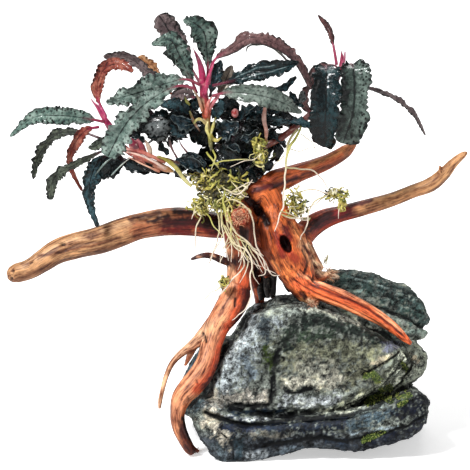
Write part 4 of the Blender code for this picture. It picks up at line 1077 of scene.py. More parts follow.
# %% [markdown]
# The wood's colours are painted on like the rock's: tan limb ends, an orange trunk and a bright ridged right leg.
# Painted light is among them: a nearly black painted shade in the fold and round the hollow, a dark stain with
# painted shade at the left root of the limb, painted highlights on the trunk and along the right leg's ridges, and
# a left leg painted peach on its lit left side and red to nearly black toward its shaded right side.

# %% Paint strokes on the drawing, painted shade and highlights among them: line, half width in squares, color
WOOD_PAINT_AND_PAINTED_LIGHT = [
    ([(8,275), (60,251), (110,237), (160,226)], 18, "#b4855c"),
    ([(24,264), (66,243), (110,228), (150,216)], 4, "#c89a70"),
    ([(14,281), (60,264), (100,252), (140,240)], 4, "#7d5236"), ([(40,256), (80,248), (120,238)], 2, "#6b4029"),
    ([(140,231), (156,229), (172,230)], 12, "#96593a"), ([(172,232), (196,234), (232,240)], 13, "#6c150f"),
    # Dark stain with painted shade where the left limb leaves the trunk.
    ([(166,222), (196,222), (226,227)], 7, "#3e0c0e"), ([(176,212), (200,210), (232,214)], 5, "#1f0708"),
    ([(149,222), (158,219), (168,217)], 2, "#2a1210"), ([(130,219), (160,213)], 2.5, "#5a3524"),
    ([(196,233), (214,240), (226,250)], 4, "#b25a36"), ([(206,218), (224,226)], 7, "#230709"),
    ([(170,236), (196,240)], 3, "#9a5c3c"), ([(270,186), (300,174), (330,161), (356,141)], 12, "#a5502b"),
    ([(300,178), (330,166), (348,156)], 3, "#7c3a22"), ([(310,166), (335,154), (354,141)], 3, "#b8774a"),
    ([(345,154), (358,139)], 4, "#7f4c30"), ([(310,230), (340,214), (372,206)], 12, "#6c1e20"),
    # Painted shade where the right lower limb comes out from behind the trunk.
    ([(300,240), (312,226), (330,214)], 6, "#2c1013"), ([(312,238), (332,226), (352,220)], 3, "#8f3722"),
    ([(362,208), (400,197), (432,186)], 8, "#a8764e"), ([(366,202), (400,192), (428,182)], 2.5, "#b98a60"),
    ([(350,206), (372,200)], 3, "#4a2420"), ([(430,185), (448,172), (458,160), (468,152)], 8, "#b18259"),
    ([(436,190), (450,178)], 2.5, "#7a4f33"), ([(262,190), (270,212), (282,240), (298,275)], 24, "#b85a2a"),
    # Painted highlights on the right mass of the trunk.
    ([(280,264), (298,284), (318,298)], 9, "#dd7a40"), ([(262,196), (270,210), (275,226)], 4, "#d06c38"),
    ([(292,224), (303,244), (311,262)], 4, "#d58450"), ([(262,228), (266,246), (270,264)], 4.5, "#7a3a24"),
    # Painted shade: dark red round the hollow, and dark in the fold at the top of the trunk.
    ([(276,234), (284,250), (296,260)], 5, "#8d3119"), ([(252,192), (264,187), (280,184), (296,178)], 3, "#4b191a"),
    ([(250,186), (262,181), (276,178)], 3, "#b4573a"), ([(240,232), (238,262)], 13, "#87452c"),
    # Painted shade in the gap between the two masses of the trunk, then a painted highlight on the left mass.
    ([(252,228), (252,246), (257,262)], 6, "#6a3020"), ([(246,232), (245,250), (247,264)], 3.5, "#2c1210"),
    ([(246,236), (249,248)], 3, "#4b3637"), ([(228,256), (230,276), (228,292)], 8, "#e8aa80"),
    # A painted highlight down the lit left edge of the left leg.
    ([(226,300), (214,324), (200,350), (194,372)], 4, "#dca484"), ([(243,266), (243,290)], 4, "#c55c34"),
    # Painted shade: the nearly black fold, under the heel and round the hollow.
    ([(236,252), (238,270)], 3, "#a8532f"), ([(246,197), (255,206), (262,215), (266,222)], 5.5, "#0d0506"),
    ([(268,272), (280,284), (294,298)], 5, "#220c0e"), ([(283,236), (278,243), (282,256)], 3.5, "#7a2214"),
    ([(285,228), (290,238)], 4, "#6a1c12"), ([(303,244), (312,258), (320,272)], 6, "#c48a62"),
    ([(304,246), (309,255)], 2, "#5a2418"), ([(311,259), (317,269)], 2, "#4a1c14"),
    ([(308,244), (314,252)], 2, "#e4b48c"), ([(314,262), (322,266)], 2, "#ecc49c"),
    ([(320,271), (334,274)], 4, "#d9b08c"),
    # Painted light on the left leg: pale on its lit left side, red toward its right and nearly black as painted
    # shade at its right edge.
    ([(231,296), (218,322), (206,350), (200,372), (187,392), (175,412), (177,424)], 17, "#cb8660"),
    ([(244,284), (240,306), (231,324)], 7, "#c4502a"),
    ([(228,328), (221,350), (213,372), (199,388)], 6.5, "#bd4a27"),
    ([(249,292), (243,310), (236,326), (226,350), (218,372), (205,387)], 5, "#3a0f0c"),
    ([(186,404), (183,416)], 3, "#b5643c"), ([(182,428), (187,441), (194,451)], 8, "#4e2218"),
    ([(184,416), (188,432), (190,440)], 2.6, "#180808"), ([(176,424), (178,436)], 3, "#d08a62"),
    ([(210,326), (194,342), (178,355), (166,376), (160,404)], 7, "#cf9f7c"), ([(222,318), (210,330)], 4, "#f0a878"),
    ([(300,282), (340,299), (385,322), (412,344)], 11, "#dc6638"),
    # Painted highlights along the upper edges of the right leg's ridges.
    ([(298,274), (330,287), (370,304), (402,331)], 2.2, "#f2a074"),
    ([(316,298), (350,309), (386,327)], 2.2, "#f08c5c"),
    ([(309,284), (345,298), (380,316), (400,333)], 1.4, "#8d2f1a"),
    ([(303,300), (312,306), (320,306)], 4, "#d0935f"), ([(234,262), (222,260), (205,256), (191,259)], 9, "#341413"),
    # Small painted highlights on the twig's lumps.
    ([(212,255), (214,256)], 1.5, "#b98a70"), ([(198,256), (200,257)], 1.5, "#a87a62"),
    ([(222,262), (222,268)], 3, "#2a1416"), ([(252,268), (258,285), (260,300)], 6, "#5a2418"),
    # A painted highlight on the stub of the back root.
    ([(256,292), (262,300)], 3, "#d0643c"), ([(270,270), (271,283), (272,298)], 4, "#4f2a20"),
    ([(236,212), (242,220)], 8, "#9a4434"), ([(247,300), (244,290)], 2.4, "#5a1a12"),
    ([(272,262), (280,270)], 2, "#e08a52"), ([(300,293), (305,298)], 3, "#3c140e"),
    ([(309,301), (316,305)], 3.4, "#e8c4a0"),
]
print("paint strokes:", len(WOOD_PAINT_AND_PAINTED_LIGHT))

# %% The wood painted and finished
across, redness = [0, 110, 170, 230, 318, 370, 470], [0.0, 0.1, 0.5, 1.0, 0.9, 0.2, 0.0]
base = np.interp(on_sheet(points)[:, 0], across, redness)[:, None]
base = np.array(linear("#a5764f"))[:3] * (1.0 - base) + np.array(linear("#a8492a"))[:3] * base
painted(wood, base, WOOD_PAINT_AND_PAINTED_LIGHT, 1.6, 31.0, 0.35, 0.7)
mark(wood, "grain", grain)
mark(wood, "shade", shade)
mark(wood, "hollow", sunk(wood, 8, 0.0006))
WOOD_NODES = [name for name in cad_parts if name.startswith("driftwood_")]
piece("driftwood_branching", wood, [DRIFTWOOD], "driftwood", *WOOD_NODES)

# %% [markdown]
# ## The leaves
#
# Each leaf is a strap on a stalk. Its line on the drawing gives the midrib, and a flat grid is bent along it:
# one way across the leaf, the other along it. The margin is ruffled by a wave that grows toward the edge, and
# the blade is quilted between its veins. Solidify gives it a thickness and lays the other finish on the
# reverse, and a tapering stalk runs on as the midrib.

# %% Outlines of a blade: its share of the full width from foot to tip
OUTLINES = {
    "lance": [0.0, 0.42, 0.76, 0.95, 1.0, 0.92, 0.72, 0.42, 0.08],
    "paddle": [0.0, 0.3, 0.52, 0.78, 1.0, 1.0, 0.62, 0.3, 0.1],
    "strap": [0.0, 0.6, 0.9, 1.0, 1.0, 0.97, 0.9, 0.72, 0.25],
    "blunt": [0.0, 0.38, 0.62, 0.84, 0.98, 1.0, 1.0, 0.94, 0.55],
    "flag": [0.2, 0.72, 0.93, 1.0, 1.0, 1.0, 0.98, 0.9, 0.62],
    "hook": [0.0, 0.72, 0.96, 1.0, 1.0, 0.92, 0.66, 0.3, 0.12],
    "arch": [0.0, 0.6, 1.0, 0.97, 0.86, 0.68, 0.54, 0.44, 0.2],
    "tail": [0.0, 0.66, 0.96, 1.0, 0.86, 0.6, 0.4, 0.3, 0.18],
}
print("outlines:", ", ".join(OUTLINES))

# %% [markdown]
# Each row below gives the midrib's line, the width in squares, how far the blade is turned in degrees, its
# fold, the share that is stalk, the ruffle in millimetres, the outline, and the finishes of face and reverse.

# %% The large leaves
LEAVES = {
    "leaf_top_back": ([(205,92,3), (195,75,7), (184,56,11), (172,36,14), (159,15,15)], 23, 0, 0.12, 0.3, 1.1,
     "blunt", "taupe", "green"),
    "leaf_top_left": ([(197,94,0), (190,77,-1), (180,57,-5), (171,43,-9), (153,47,-13)], 26, 10, 0.15, 0.15, 1.3,
     "paddle", "green", "taupe"),
    "leaf_top_right": ([(207,88,-3), (208,70,-1), (207,50,0), (204,34,-3), (194,25,-6),
     (184,23,-8)], 27, -5, 0.15, 0.2, 1.2, "paddle", "green", "taupe"),
    "leaf_arching": ([(209,86,-8), (213,64,-8), (229,52,-9), (252,40,-11), (279,48,-10), (298,64,-8),
     (311,90,-4)], 15, 20, 0.1, 0.2, 0.8, "arch", "maroon", "olive"),
    "leaf_dark_gloss": ([(213,87,-11), (235,82,-14), (255,74,-15), (277,70,-15),
     (298,64,-13)], 20, 10, 0.25, 0.12, 0.8, "lance", "gloss", "maroon"),
    "leaf_sage": ([(213,97,-13), (232,94,-18), (262,98,-21), (283,105,-19), (301,114,-14)], 20, 5, 0.15, 0.1, 0.5,
     "lance", "dull_sage", "taupe"),
    "leaf_behind_shoot": ([(210,98,3), (213,84,4), (217,72,5), (221,61,6)], 14, 0, 0.1, 0.1, 0.6, "lance", "teal",
     "maroon"),
    "leaf_small_brown": ([(216,98,9), (223,86,10), (228,75,11), (232,66,12)], 14, 0, 0.1, 0.1, 0.9, "lance",
     "cream", "olive"),
    "leaf_small_left": ([(196,100,3), (189,95,3), (181,94,4), (171,99,5)], 16, 0, 0.1, 0.1, 0.6, "lance", "taupe",
     "green"),
    "leaf_big_left": ([(200,86,-9), (186,81,-11), (168,85,-14), (148,92,-17), (128,98,-18),
     (108,104,-17)], 26, 10, 0.12, 0.2, 1.9, "lance", "sage", "taupe"),
    "leaf_big_front": ([(196,90,-13), (178,88,-17), (156,99,-23), (137,115,-27), (122,135,-29),
     (110,158,-27)], 26, 10, 0.12, 0.2, 1.6, "blunt", "sage", "taupe"),
    "leaf_left_long": ([(106,123,-15), (84,119,-17), (60,117,-19), (36,119,-19),
     (12,137,-14)], 17, 5, 0.15, 0.1, 1.1, "hook", "green", "taupe"),
    "leaf_left_edge": ([(112,143,-7), (79,132,-3), (54,136,1), (38,156,3), (33,179,1)], 11, 45, 0.1, 0.15, 1.0,
     "strap", "olive", "taupe"),
    "leaf_left_red": ([(100,128,-17), (87,132,-19), (74,149,-20), (72,168,-18),
     (83,191,-15)], 11, 25, 0.1, 0.1, 0.6, "tail", "brick", "olive"),
    "leaf_left_olive": ([(113,148,-16), (93,157,-21), (72,168,-24), (56,179,-24),
     (52,200,-22)], 10, 25, 0.1, 0.12, 0.9, "blunt", "olive", "taupe"),
    "leaf_left_hanging": ([(113,153,-8), (99,163,-10), (91,182,-12), (91,204,-14),
     (99,227,-15)], 17, 20, 0.1, 0.1, 1.2, "tail", "teal", "taupe"),
    "leaf_left_curl": ([(107,118,-7), (98,96,-4), (103,73,-3), (118,65,-4), (134,73,-7)], 13, 15, 0.1, 0.15, 0.4,
     "strap", "brick", "olive"),
    "leaf_back_taupe": ([(198,99,9), (172,88,10), (148,72,11), (128,58,11), (104,57,10)], 11, 20, 0.1, 0.3, 0.6,
     "strap", "taupe", "green"),
    "leaf_back_orange": ([(194,104,16), (172,94,18), (158,80,19), (149,66,20), (137,58,21)], 13, 10, 0.1, 0.3, 0.4,
     "blunt", "tan", "olive"),
    "leaf_left_tan": ([(113,138,-17), (105,142,-20), (97,147,-21), (90,149,-21)], 9, 10, 0.1, 0.1, 0.3, "lance",
     "olive", "tan"),
    "leaf_left_under": ([(122,158,-6), (112,163,-5), (102,170,-5), (94,180,-4)], 22, 0, 0.1, 0.1, 1.3, "strap",
     "teal", "taupe"),
    "leaf_right_upright": ([(336,66,0), (333,48,2), (329,31,4), (318,16,8)], 7, 30, 0.1, 0.35, 0.4, "lance", "wine",
     "brick"),
    "leaf_right_droop_left": ([(325,68,-12), (325,75,-17), (325,97,-20), (324,122,-21),
     (324,148,-17)], 30, -10, 0.25, 0.02, 0.9, "flag", "gloss", "olive"),
    "leaf_right_droop_right": ([(350,66,-12), (352,73,-16), (353,94,-17), (351,117,-17),
     (342,144,-13)], 34, 5, 0.2, 0.02, 1.0, "flag", "shaded", "maroon"),
    "leaf_right_back": ([(336,76,0), (326,71,3), (316,76,5), (308,90,5)], 18, 0, 0.1, 0.1, 0.9, "lance", "maroon",
     "olive"),
    "leaf_right_thin": ([(343,76,-2), (368,89,-4), (392,98,-3), (412,113,0), (425,135,4)], 8, 45, 0.1, 0.15, 0.6,
     "lance", "taupe", "olive"),
    "leaf_right_small": ([(317,117,8), (306,108,9), (304,96,10), (310,83,12)], 9, 10, 0.1, 0.1, 0.4, "lance",
     "maroon", "taupe"),
}
print("the plant has", len(LEAVES), "large leaves")

# %% Light bands and the sizes of a blade
# Bands that catch the light or lie in shade: side, half width, first and last part of the leaf, how much lighter
BANDS = {
    "leaf_right_droop_left": [
        (-0.08,0.04,0.2,0.7,0.55), (-0.2,0.8,0.0,0.3,0.4), (0.9,0.4,0.2,1.0,-0.2), (-0.7,0.4,0.4,1.0,0.15),
    ],
    "leaf_right_droop_right": [(0.85,0.5,0.0,1.0,-0.4), (-0.3,0.3,0.1,0.7,0.12)],
    "leaf_dark_gloss": [(-0.35,0.08,0.2,0.75,0.8), (0.3,0.07,0.3,0.9,0.8), (0.7,0.1,0.35,0.6,0.6)],
    "leaf_top_left": [(0.2,0.1,0.6,0.9,-0.3), (0.0,0.5,0.0,0.25,-0.2)],
    "leaf_arching": [(0.8,0.2,0.1,0.9,-0.2)],
}
LEAF_REACH = 2.0
BLADE_THICK = 0.00055
STALK_HALF = 0.0010
RUFFLE_PITCH = 0.0062
KNOB_PITCH = 0.0034
SLOW_BEAT, QUICK_BEAT = 0.011, 0.0045
ROLL_PITCH = 0.0085
CREASE_PITCH, CREASE_DEPTH = 0.0028, 0.00042
GROOVE_DEPTH = 0.0003
COLUMNS = 20
ROWS = 84
print("a blade has", COLUMNS * ROWS, "faces")

# %% [markdown]
# The half width comes from the outline's nine stations, smoothed, and closes round at the tip. `wobble` is
# noise along the leaf that differs from side to side.

# %% Width and wobble
def blade_half(share, widest, stalk, outline):
    stations = np.linspace(0.0, 1.0, 91)
    table = np.interp(stations, np.linspace(0.0, 1.0, 9), OUTLINES[outline])
    table = np.convolve(np.pad(table, 6, mode="edge"), np.ones(13) / 13.0, mode="valid")
    blade = np.clip((share - stalk) / (1.0 - stalk), 0.0, 1.0)
    closing = np.sqrt(np.clip(1.0 - np.clip((blade - 0.95) / 0.05, 0.0, 1.0) ** 2, 0.01, 1.0))
    return widest * np.interp(blade, stations, table) * closing * np.clip(blade / 0.03, 0.0, 1.0) + 0.0003


def wobble(along, across, seed):
    return np.array([noise.noise(Vector((a, b, seed))) for a, b in zip(along, across)])


halfway = blade_half(np.array([0.5]), 0.006, 0.1, "lance")
print("half width at the middle:", round(1000 * float(halfway[0]), 1), "mm")

# %% [markdown]
# A grid of 20 by 84 faces is bent along the midrib. Knobs push the margin out, waves and crimps lift it, a
# rolled edge turns under in places, and creases between the veins quilt the blade. Each comes from noise along
# the leaf, so none of them repeats.

# %% One blade, bent from a grid
def bent_blade(spine, widest, turn, fold, stalk, ruffle, outline, bands, seed):
    body = bmesh.new()
    bmesh.ops.create_grid(body, x_segments=COLUMNS, y_segments=ROWS, size=1.0)
    mesh = meshed(body, "blade", smooth=True)
    flat, _ = points_of(mesh)
    side, share = flat[:, 0], (flat[:, 1] + 1.0) / 2.0
    row = share * (len(spine) - 1)
    count = np.arange(len(spine))
    place = np.stack([np.interp(row, count, column) for column in spine.T], axis=1)
    ahead = np.gradient(spine, axis=0)
    ahead = np.stack([np.interp(row, count, column) for column in ahead.T], axis=1)
    ahead /= np.linalg.norm(ahead, axis=1)[:, None]
    aside = np.cross(ahead, np.array(TO_VIEWER))
    aside /= np.linalg.norm(aside, axis=1)[:, None]
    toward = np.cross(aside, ahead)
    roll = (np.radians(turn) + 0.2 * np.sin(share * 5.0 + seed))[:, None]
    aside = aside * np.cos(roll) + toward * np.sin(roll)
    raised = np.cross(aside, ahead)
    length = float(np.linalg.norm(np.diff(spine, axis=0), axis=1).sum())
    half = blade_half(share, widest, stalk, outline)
    run = share * length
    edge = np.abs(side)
    handed = np.sign(side) * 9.0 + seed
    # The inner margin of the arching leaf is smooth.
    full = np.clip(half / 0.003, 0.0, 1.0) * np.where((outline == "arch") & (side > 0), 0.15, 1.0)
    beat = 2.6 * wobble(run / SLOW_BEAT, handed, 1.0) + 0.9 * wobble(run / QUICK_BEAT, handed, 6.0)
    lobes = np.abs(np.sin(pi * run / KNOB_PITCH + 1.6 * beat)) ** 0.8 - 0.5
    lobes *= 0.2 + 2.2 * np.abs(wobble(run / 0.006, handed, 5.0))
    rolled = np.clip(2.4 * wobble(run / ROLL_PITCH, handed, 8.0), -1.0, 1.0)
    out = half * side * (1.0 - 0.28 * edge**3 * rolled**2 * full)
    out += np.sign(side) * (0.0009 + 0.0009 * ruffle) * lobes * edge**5 * full
    waves = wobble(run / RUFFLE_PITCH, handed, 2.0) * edge**2.2
    crimps = wobble(run / (KNOB_PITCH * 0.6), handed, 3.0) * edge**4
    creases = wobble(run / CREASE_PITCH - 0.8 * edge, side * 2.4, seed + 4.0)
    lift = fold * half * np.sqrt(side**2 + 0.02) + ruffle * MM * full * (2.8 * waves + 1.8 * crimps)
    lift -= 0.3 * half * edge**4 * rolled * full
    groove = GROOVE_DEPTH * np.exp(-((side / 0.08) ** 2))
    lift += CREASE_DEPTH * creases * full * (1.0 - 0.5 * edge**4) - groove * full
    move_points(mesh, place + aside * out[:, None] + raised * lift[:, None])
    mark(mesh, "blade", np.stack([side, out / MM, run / MM + seed], axis=1))
    fading = np.clip(1.0 - (share - stalk * 0.6) / 0.22, 0.0, 1.0)
    mark(mesh, "stem", fading * np.exp(-((side * half / 0.0011) ** 2)))
    mark(mesh, "hollow", sunk(mesh, 5, 0.00025))
    lightness = 0.2 * wobble(run / 0.012, side * 1.3, seed + 2.0) + 0.08 * wobble(run / 0.004, side * 3.0, seed)
    for middle, wide, first, last, amount in bands:
        from_band = side - middle + 0.25 * wobble(run / 0.009, side * 0.3, seed + 11.0)
        within = np.clip((share - first) / 0.05, 0.0, 1.0) * np.clip((last - share) / 0.05, 0.0, 1.0)
        lightness += amount * within * np.exp(-((from_band / wide) ** 2))
    mark(mesh, "lightness", lightness)
    return mesh


print("bending ready")

# %% [markdown]
# Solidify gives the blade its thickness. Its material offset lays the second finish on the reverse, and the rim
# keeps the first.

# %% A blade with two sides
def thick(mesh, amount):
    sheet = bpy.data.objects.new("sheet", mesh)
    sheet.data.materials.append(None)
    sheet.data.materials.append(None)
    solid = sheet.modifiers.new("thickness", "SOLIDIFY")
    solid.thickness = amount
    solid.offset = 0.0
    solid.material_offset = 1
    solid.material_offset_rim = 0
    bpy.context.scene.collection.objects.link(sheet)
    graph = bpy.context.evaluated_depsgraph_get()
    made = bpy.data.meshes.new_from_object(sheet.evaluated_get(graph))
    bpy.data.objects.remove(sheet, do_unlink=True)
    return made


print("thickening ready")

# %% [markdown]
# A whole leaf is its blade and its stalk, which runs on under the blade as a tapering midrib. Depths are
# stretched twofold from the foot, so that the leaves also reach forward and back.

# %% Whole leaves
def whole_leaf(name, seed):
    path, wide, turn, fold, stalk, ruffle, outline, face, reverse = LEAVES[name]
    root = path[0][2]
    places = [at(across, down, root + (back - root) * LEAF_REACH) for across, down, back in path]
    spine, bands = smooth_line(places, 90), BANDS.get(name, [])
    blade = bent_blade(spine, wide * SQUARE / 2.0, turn, fold, stalk, ruffle, outline, bands, seed)
    points, normals = points_of(blade)
    middle = points.reshape(ROWS + 1, COLUMNS + 1, 3)[:, COLUMNS // 2]
    reverse_way = -normals.reshape(ROWS + 1, COLUMNS + 1, 3)[:, COLUMNS // 2]
    shares = np.arange(ROWS + 1) / ROWS
    halves = np.interp(shares, [0.0, stalk, stalk + 0.2, 1.0], [STALK_HALF, 0.0008, 0.0004, 0.0002])
    sinks = np.interp(shares, [stalk, stalk + 0.1], [0.0, 0.00035])
    under = middle + reverse_way * sinks[:, None]
    rib = [(Vector(under[row]), halves[row]) for row in range(0, int(0.8 * ROWS), 3)]
    stem = rods([rib], 2, 1)
    mark(stem, "stem", np.ones(len(stem.vertices)))
    leaf = together([thick(blade, BLADE_THICK), stem])
    return piece(name.replace("leaf_", "grown_leaf_"), leaf, [LEAF[face], LEAF[reverse]], "leaf", name)


for number, name in enumerate(LEAVES):
    whole_leaf(name, 1.7 * number + 0.4)

# %% [markdown]
# ## The crowded small leaves
#
# The heart of the plant is a thicket of small, dark, wet leaves; the darkest, deep inside it, are painted nearly
# black as shade. Each one is the same kind of blade, short and strongly ruffled, with fewer faces. The larger ones
# are placed one by one on the drawing. The rest stand on the round lumps that the CAD solid is made of, facing
# outward, in an order fixed by a seed.

# %% Larger leaves of the heart, by finish: foot, tip, width in squares, roll in degrees, cupping, lightness
CURLED = {
    "dotted": [((157,118,2), (161,141,-4), 26, 10, 0.25, 0.1), ((300,104,-4), (303,92,-2), 8, 10, 0.3, 0.1)],
    "teal": [
        ((192,113,0), (162,104,-6), 15, 20, 0.5, 0.12), ((236,119,-4), (264,110,-9), 14, -15, 0.5, 0.0),
        ((214,119,-4), (222,103,-8), 12, 10, 0.5, 0.14), ((262,116,-2), (290,124,-6), 10, 20, 0.5, 0.0),
        ((288,122,-4), (314,127,-6), 9, -20, 0.5, 0.05), ((190,108,4), (204,98,2), 12, 10, 0.5, 0.02),
        ((262,92,0), (296,80,-3), 9, 40, 0.6, 0.02), ((290,92,2), (303,108,0), 8, 30, 0.6, 0.04),
        ((268,88,0), (284,97,-2), 7, 0, 0.6, 0.0), ((268,112,0), (288,106,-2), 9, 0, 0.5, -0.02),
        ((169,123,-2), (184,138,-6), 10, 30, 0.6, 0.08), ((150,120,3), (168,112,4), 10, 0, 0.5, -0.1),
        ((196,142,2), (190,128,0), 12, 20, 0.7, -0.05), ((160,140,3), (168,155,0), 7, 30, 0.6, 0.0),
        ((262,134,0), (282,142,-3), 7, -30, 0.6, -0.05),
    ],
    "rim_highlit": [
        ((218,132,-6), (238,126,-11), 19, 5, 0.9, 0.05), ((198,124,-2), (172,118,-9), 14, -25, 0.8, 0.08),
        ((207,170,-4), (177,160,-9), 14, 15, 0.8, 0.0), ((182,156,-4), (206,164,-8), 8, -40, 0.8, 0.04),
        ((246,118,-5), (258,108,-9), 10, 25, 0.8, 0.06), ((240,140,-7), (258,132,-9), 9, 25, 0.8, -0.05),
        ((226,146,-8), (240,152,-9), 7, -30, 0.8, 0.0), ((178,132,-3), (194,126,-6), 8, 10, 0.9, 0.05),
    ],
    "deep": [
        ((153,112,4), (129,136,0), 17, -20, 0.3, -0.1), ((190,122,2), (206,146,0), 17, -20, 0.4, 0.0),
        ((240,124,-2), (262,136,-6), 16, 25, 0.5, 0.0), ((216,146,-4), (240,160,-7), 16, 20, 0.4, 0.0),
        ((214,110,2), (236,96,0), 14, 20, 0.4, 0.05), ((246,150,-2), (268,164,-4), 12, 10, 0.4, 0.0),
        ((248,166,-2), (256,182,-5), 12, 25, 0.3, 0.0), ((226,168,-4), (246,178,-7), 12, -25, 0.3, 0.0),
        ((160,134,4), (142,126,2), 14, 0, 0.3, -0.1), ((148,116,6), (134,128,4), 14, 0, 0.3, -0.1),
        ((232,138,0), (256,150,-4), 18, 0, 0.3, 0.0), ((215,158,0), (236,168,-3), 14, 0, 0.3, 0.0),
        ((128,159,-8), (170,174,-9), 8, 10, 0.3, 0.0), ((124,158,-9), (102,178,-14), 15, 10, 0.4, 0.08),
        ((122,162,-8), (112,178,-12), 10, 10, 0.4, 0.1), ((120,160,-8), (150,173,-9), 11, 10, 0.4, 0.1),
        ((222,120,3), (238,104,2), 14, 0, 0.3, -0.05), ((252,118,3), (270,124,2), 12, 0, 0.3, -0.05),
        ((146,142,-2), (132,139,-4), 6, 30, 0.5, 0.1), ((178,136,0), (146,143,-4), 6, 50, 0.5, 0.1),
    ],
}
HEART = [
    (250,127,12,22,16,10), (266,140,12,17,15,10), (240,150,12,18,18,11), (277,113,13,13,12,8),
    (228,136,12,13,18,10), (180,116,10,15,10,8), (192,124,11,12,12,8), (167,131,8,15,8,6), (204,132,12,11,13,8),
    (192,164,8,18,8,8), (216,155,12,16,14,10), (250,165,12,16,12,9), (238,178,7,17,15,9), (222,172,8,16,12,9),
]
LEAVES_PER_LUMP = 32
print("placed by hand:", sum(len(leaves) for leaves in CURLED.values()))

# %% A small blade
def small_blade(base, tip, facing_to, wide, ruffle, curl, lightness, seed, columns=4, rows=6):
    growth = tip - base
    long = growth.length
    spine = smooth_line([base, base.lerp(tip, 0.5) + facing_to * long * 0.12, tip - facing_to * long * 0.1], rows)
    aside = np.array(growth.cross(facing_to).normalized())
    body = bmesh.new()
    bmesh.ops.create_grid(body, x_segments=columns, y_segments=rows, size=1.0)
    mesh = meshed(body, "small_blade", smooth=True)
    flat, _ = points_of(mesh)
    side, share = flat[:, 0], (flat[:, 1] + 1.0) / 2.0
    place = np.stack([np.interp(share * rows, np.arange(rows + 1), column) for column in spine.T], axis=1)
    edge = np.abs(side)
    handed = np.sign(side) * 5.0 + seed
    frill = wobble(share * long / 0.0021, handed, 7.0) * edge**2
    half = wide / 2.0 * np.sin(pi * (0.05 + 0.9 * share)) ** 0.6 * (1.0 + 0.5 * frill)
    wave = wobble(share * long / 0.0032, handed, 2.0) * edge**1.5
    lift = half * curl * side**2 + ruffle * 3.4 * wave
    lift += 0.0007 * wobble(share * long / 0.0022, side * 2.0, seed + 3.0)
    raised = np.array(facing_to)
    move_points(mesh, place + aside * (half * side)[:, None] + raised * lift[:, None])
    mark(mesh, "blade", np.stack([side, half * side / MM, share * long / MM + seed], axis=1))
    mark(mesh, "stem", np.clip(1.0 - share / 0.2, 0.0, 1.0) * 0.5)
    mark(mesh, "hollow", sunk(mesh, 1 if columns < 10 else 3, 0.0003))
    mark(mesh, "lightness", np.full(len(flat), lightness))
    return thick(mesh, 0.0005)


def turned_to(growth, toward):
    growth = growth.normalized()
    if abs(growth.dot(toward.normalized())) > 0.9:
        toward = growth.orthogonal()
    return (toward - growth * toward.dot(growth)).normalized()


print("small blades ready")

# %% The leaves placed by hand
for finish, leaves in CURLED.items():
    blades = []
    for number, (foot, tip, wide, roll, curl, lightness) in enumerate(leaves):
        foot, tip = at(*foot), at(*tip)
        toward = turned_to(tip - foot, TO_VIEWER)
        toward.rotate(Matrix.Rotation(radians(roll), 3, tip - foot))
        blades.append(small_blade(foot, tip, toward, wide * SQUARE, 0.0009, curl, lightness, 2.3 * number, 14, 26))
    piece(finish + "_curled_leaves", together(blades), [LEAF[finish], LEAF["olive"]], "leaf")

# %% The rest of the thicket
draws = Random(11)
small = []
for across, down, back, wide, tall, deep in HEART:
    center = at(across, down, back)
    for _ in range(LEAVES_PER_LUMP):
        outward = drawn(draws, 1, (0, -0.25, 0.1)).normalized()
        reach = draws.uniform(0.35, 0.95)
        offset = beside(outward, wide, tall, deep)
        growth = outward + Vector((draws.uniform(-1, 1), draws.uniform(-1, 1), draws.uniform(-0.6, 1)))
        growth.normalize()
        toward = turned_to(growth, outward * 1.2 + Vector((draws.uniform(-0.6, 0.6), -0.3, 0.5)))
        long = draws.uniform(0.0060, 0.0125)
        foot = center + offset * reach - growth * long * 0.45
        tip = foot + growth * long + Vector((0.0, 0.0, -0.2)) * long
        wide_here = long * draws.uniform(0.32, 0.7)
        lightness = draws.choice((-0.1, -0.05, 0.0, 0.08))
        curl, seed = draws.uniform(-0.3, 1.2), draws.uniform(0, 6)
        small.append(small_blade(foot, tip, toward, wide_here, 0.0008, curl, lightness, seed))
print(len(small), "small leaves")
# The thicket's faces take the nearly black finish of painted shade.
piece("crowded_leaves", together(small), [LEAF["deep"], LEAF["teal"]], "leaf", "small_leaves")

# %% [markdown]
# ## Stems and their sheaths
#
# The plant creeps on three stems, magenta where they are young and orange to yellow where they are old. A stem
# is a bevelled curve. Each of its points takes the colour of the nearest place on its line, where the colours
# are listed from foot to tip.

# %% Rods with colours along them
def tinted_rods(lines, colors, sides, steps=1, kind="BEZIER"):
    mesh = rods(lines, sides, steps, kind)
    samples = []
    for line, hues in zip(lines, colors):
        places = [place for place, _ in line]
        if kind == "BEZIER":
            places = smooth_line(places, 6 * (len(line) - 1))
        shares = np.linspace(0.0, len(hues) - 1.0, len(places))
        steps_of_color = np.array([linear(hue)[:3] for hue in hues])
        mixed = np.stack([np.interp(shares, np.arange(len(hues)), column) for column in steps_of_color.T], axis=1)
        samples += [(Vector(place), color) for place, color in zip(places, mixed)]
    tree = KDTree(len(samples))
    for number, (place, _) in enumerate(samples):
        tree.insert(place, number)
    tree.balance()
    tints = np.ones((len(mesh.vertices), 4))
    for vertex in mesh.vertices:
        tints[vertex.index, :3] = samples[tree.find(vertex.co)[1]][1]
    mark(mesh, "tint", tints)
    return mesh


print("colours along rods ready")

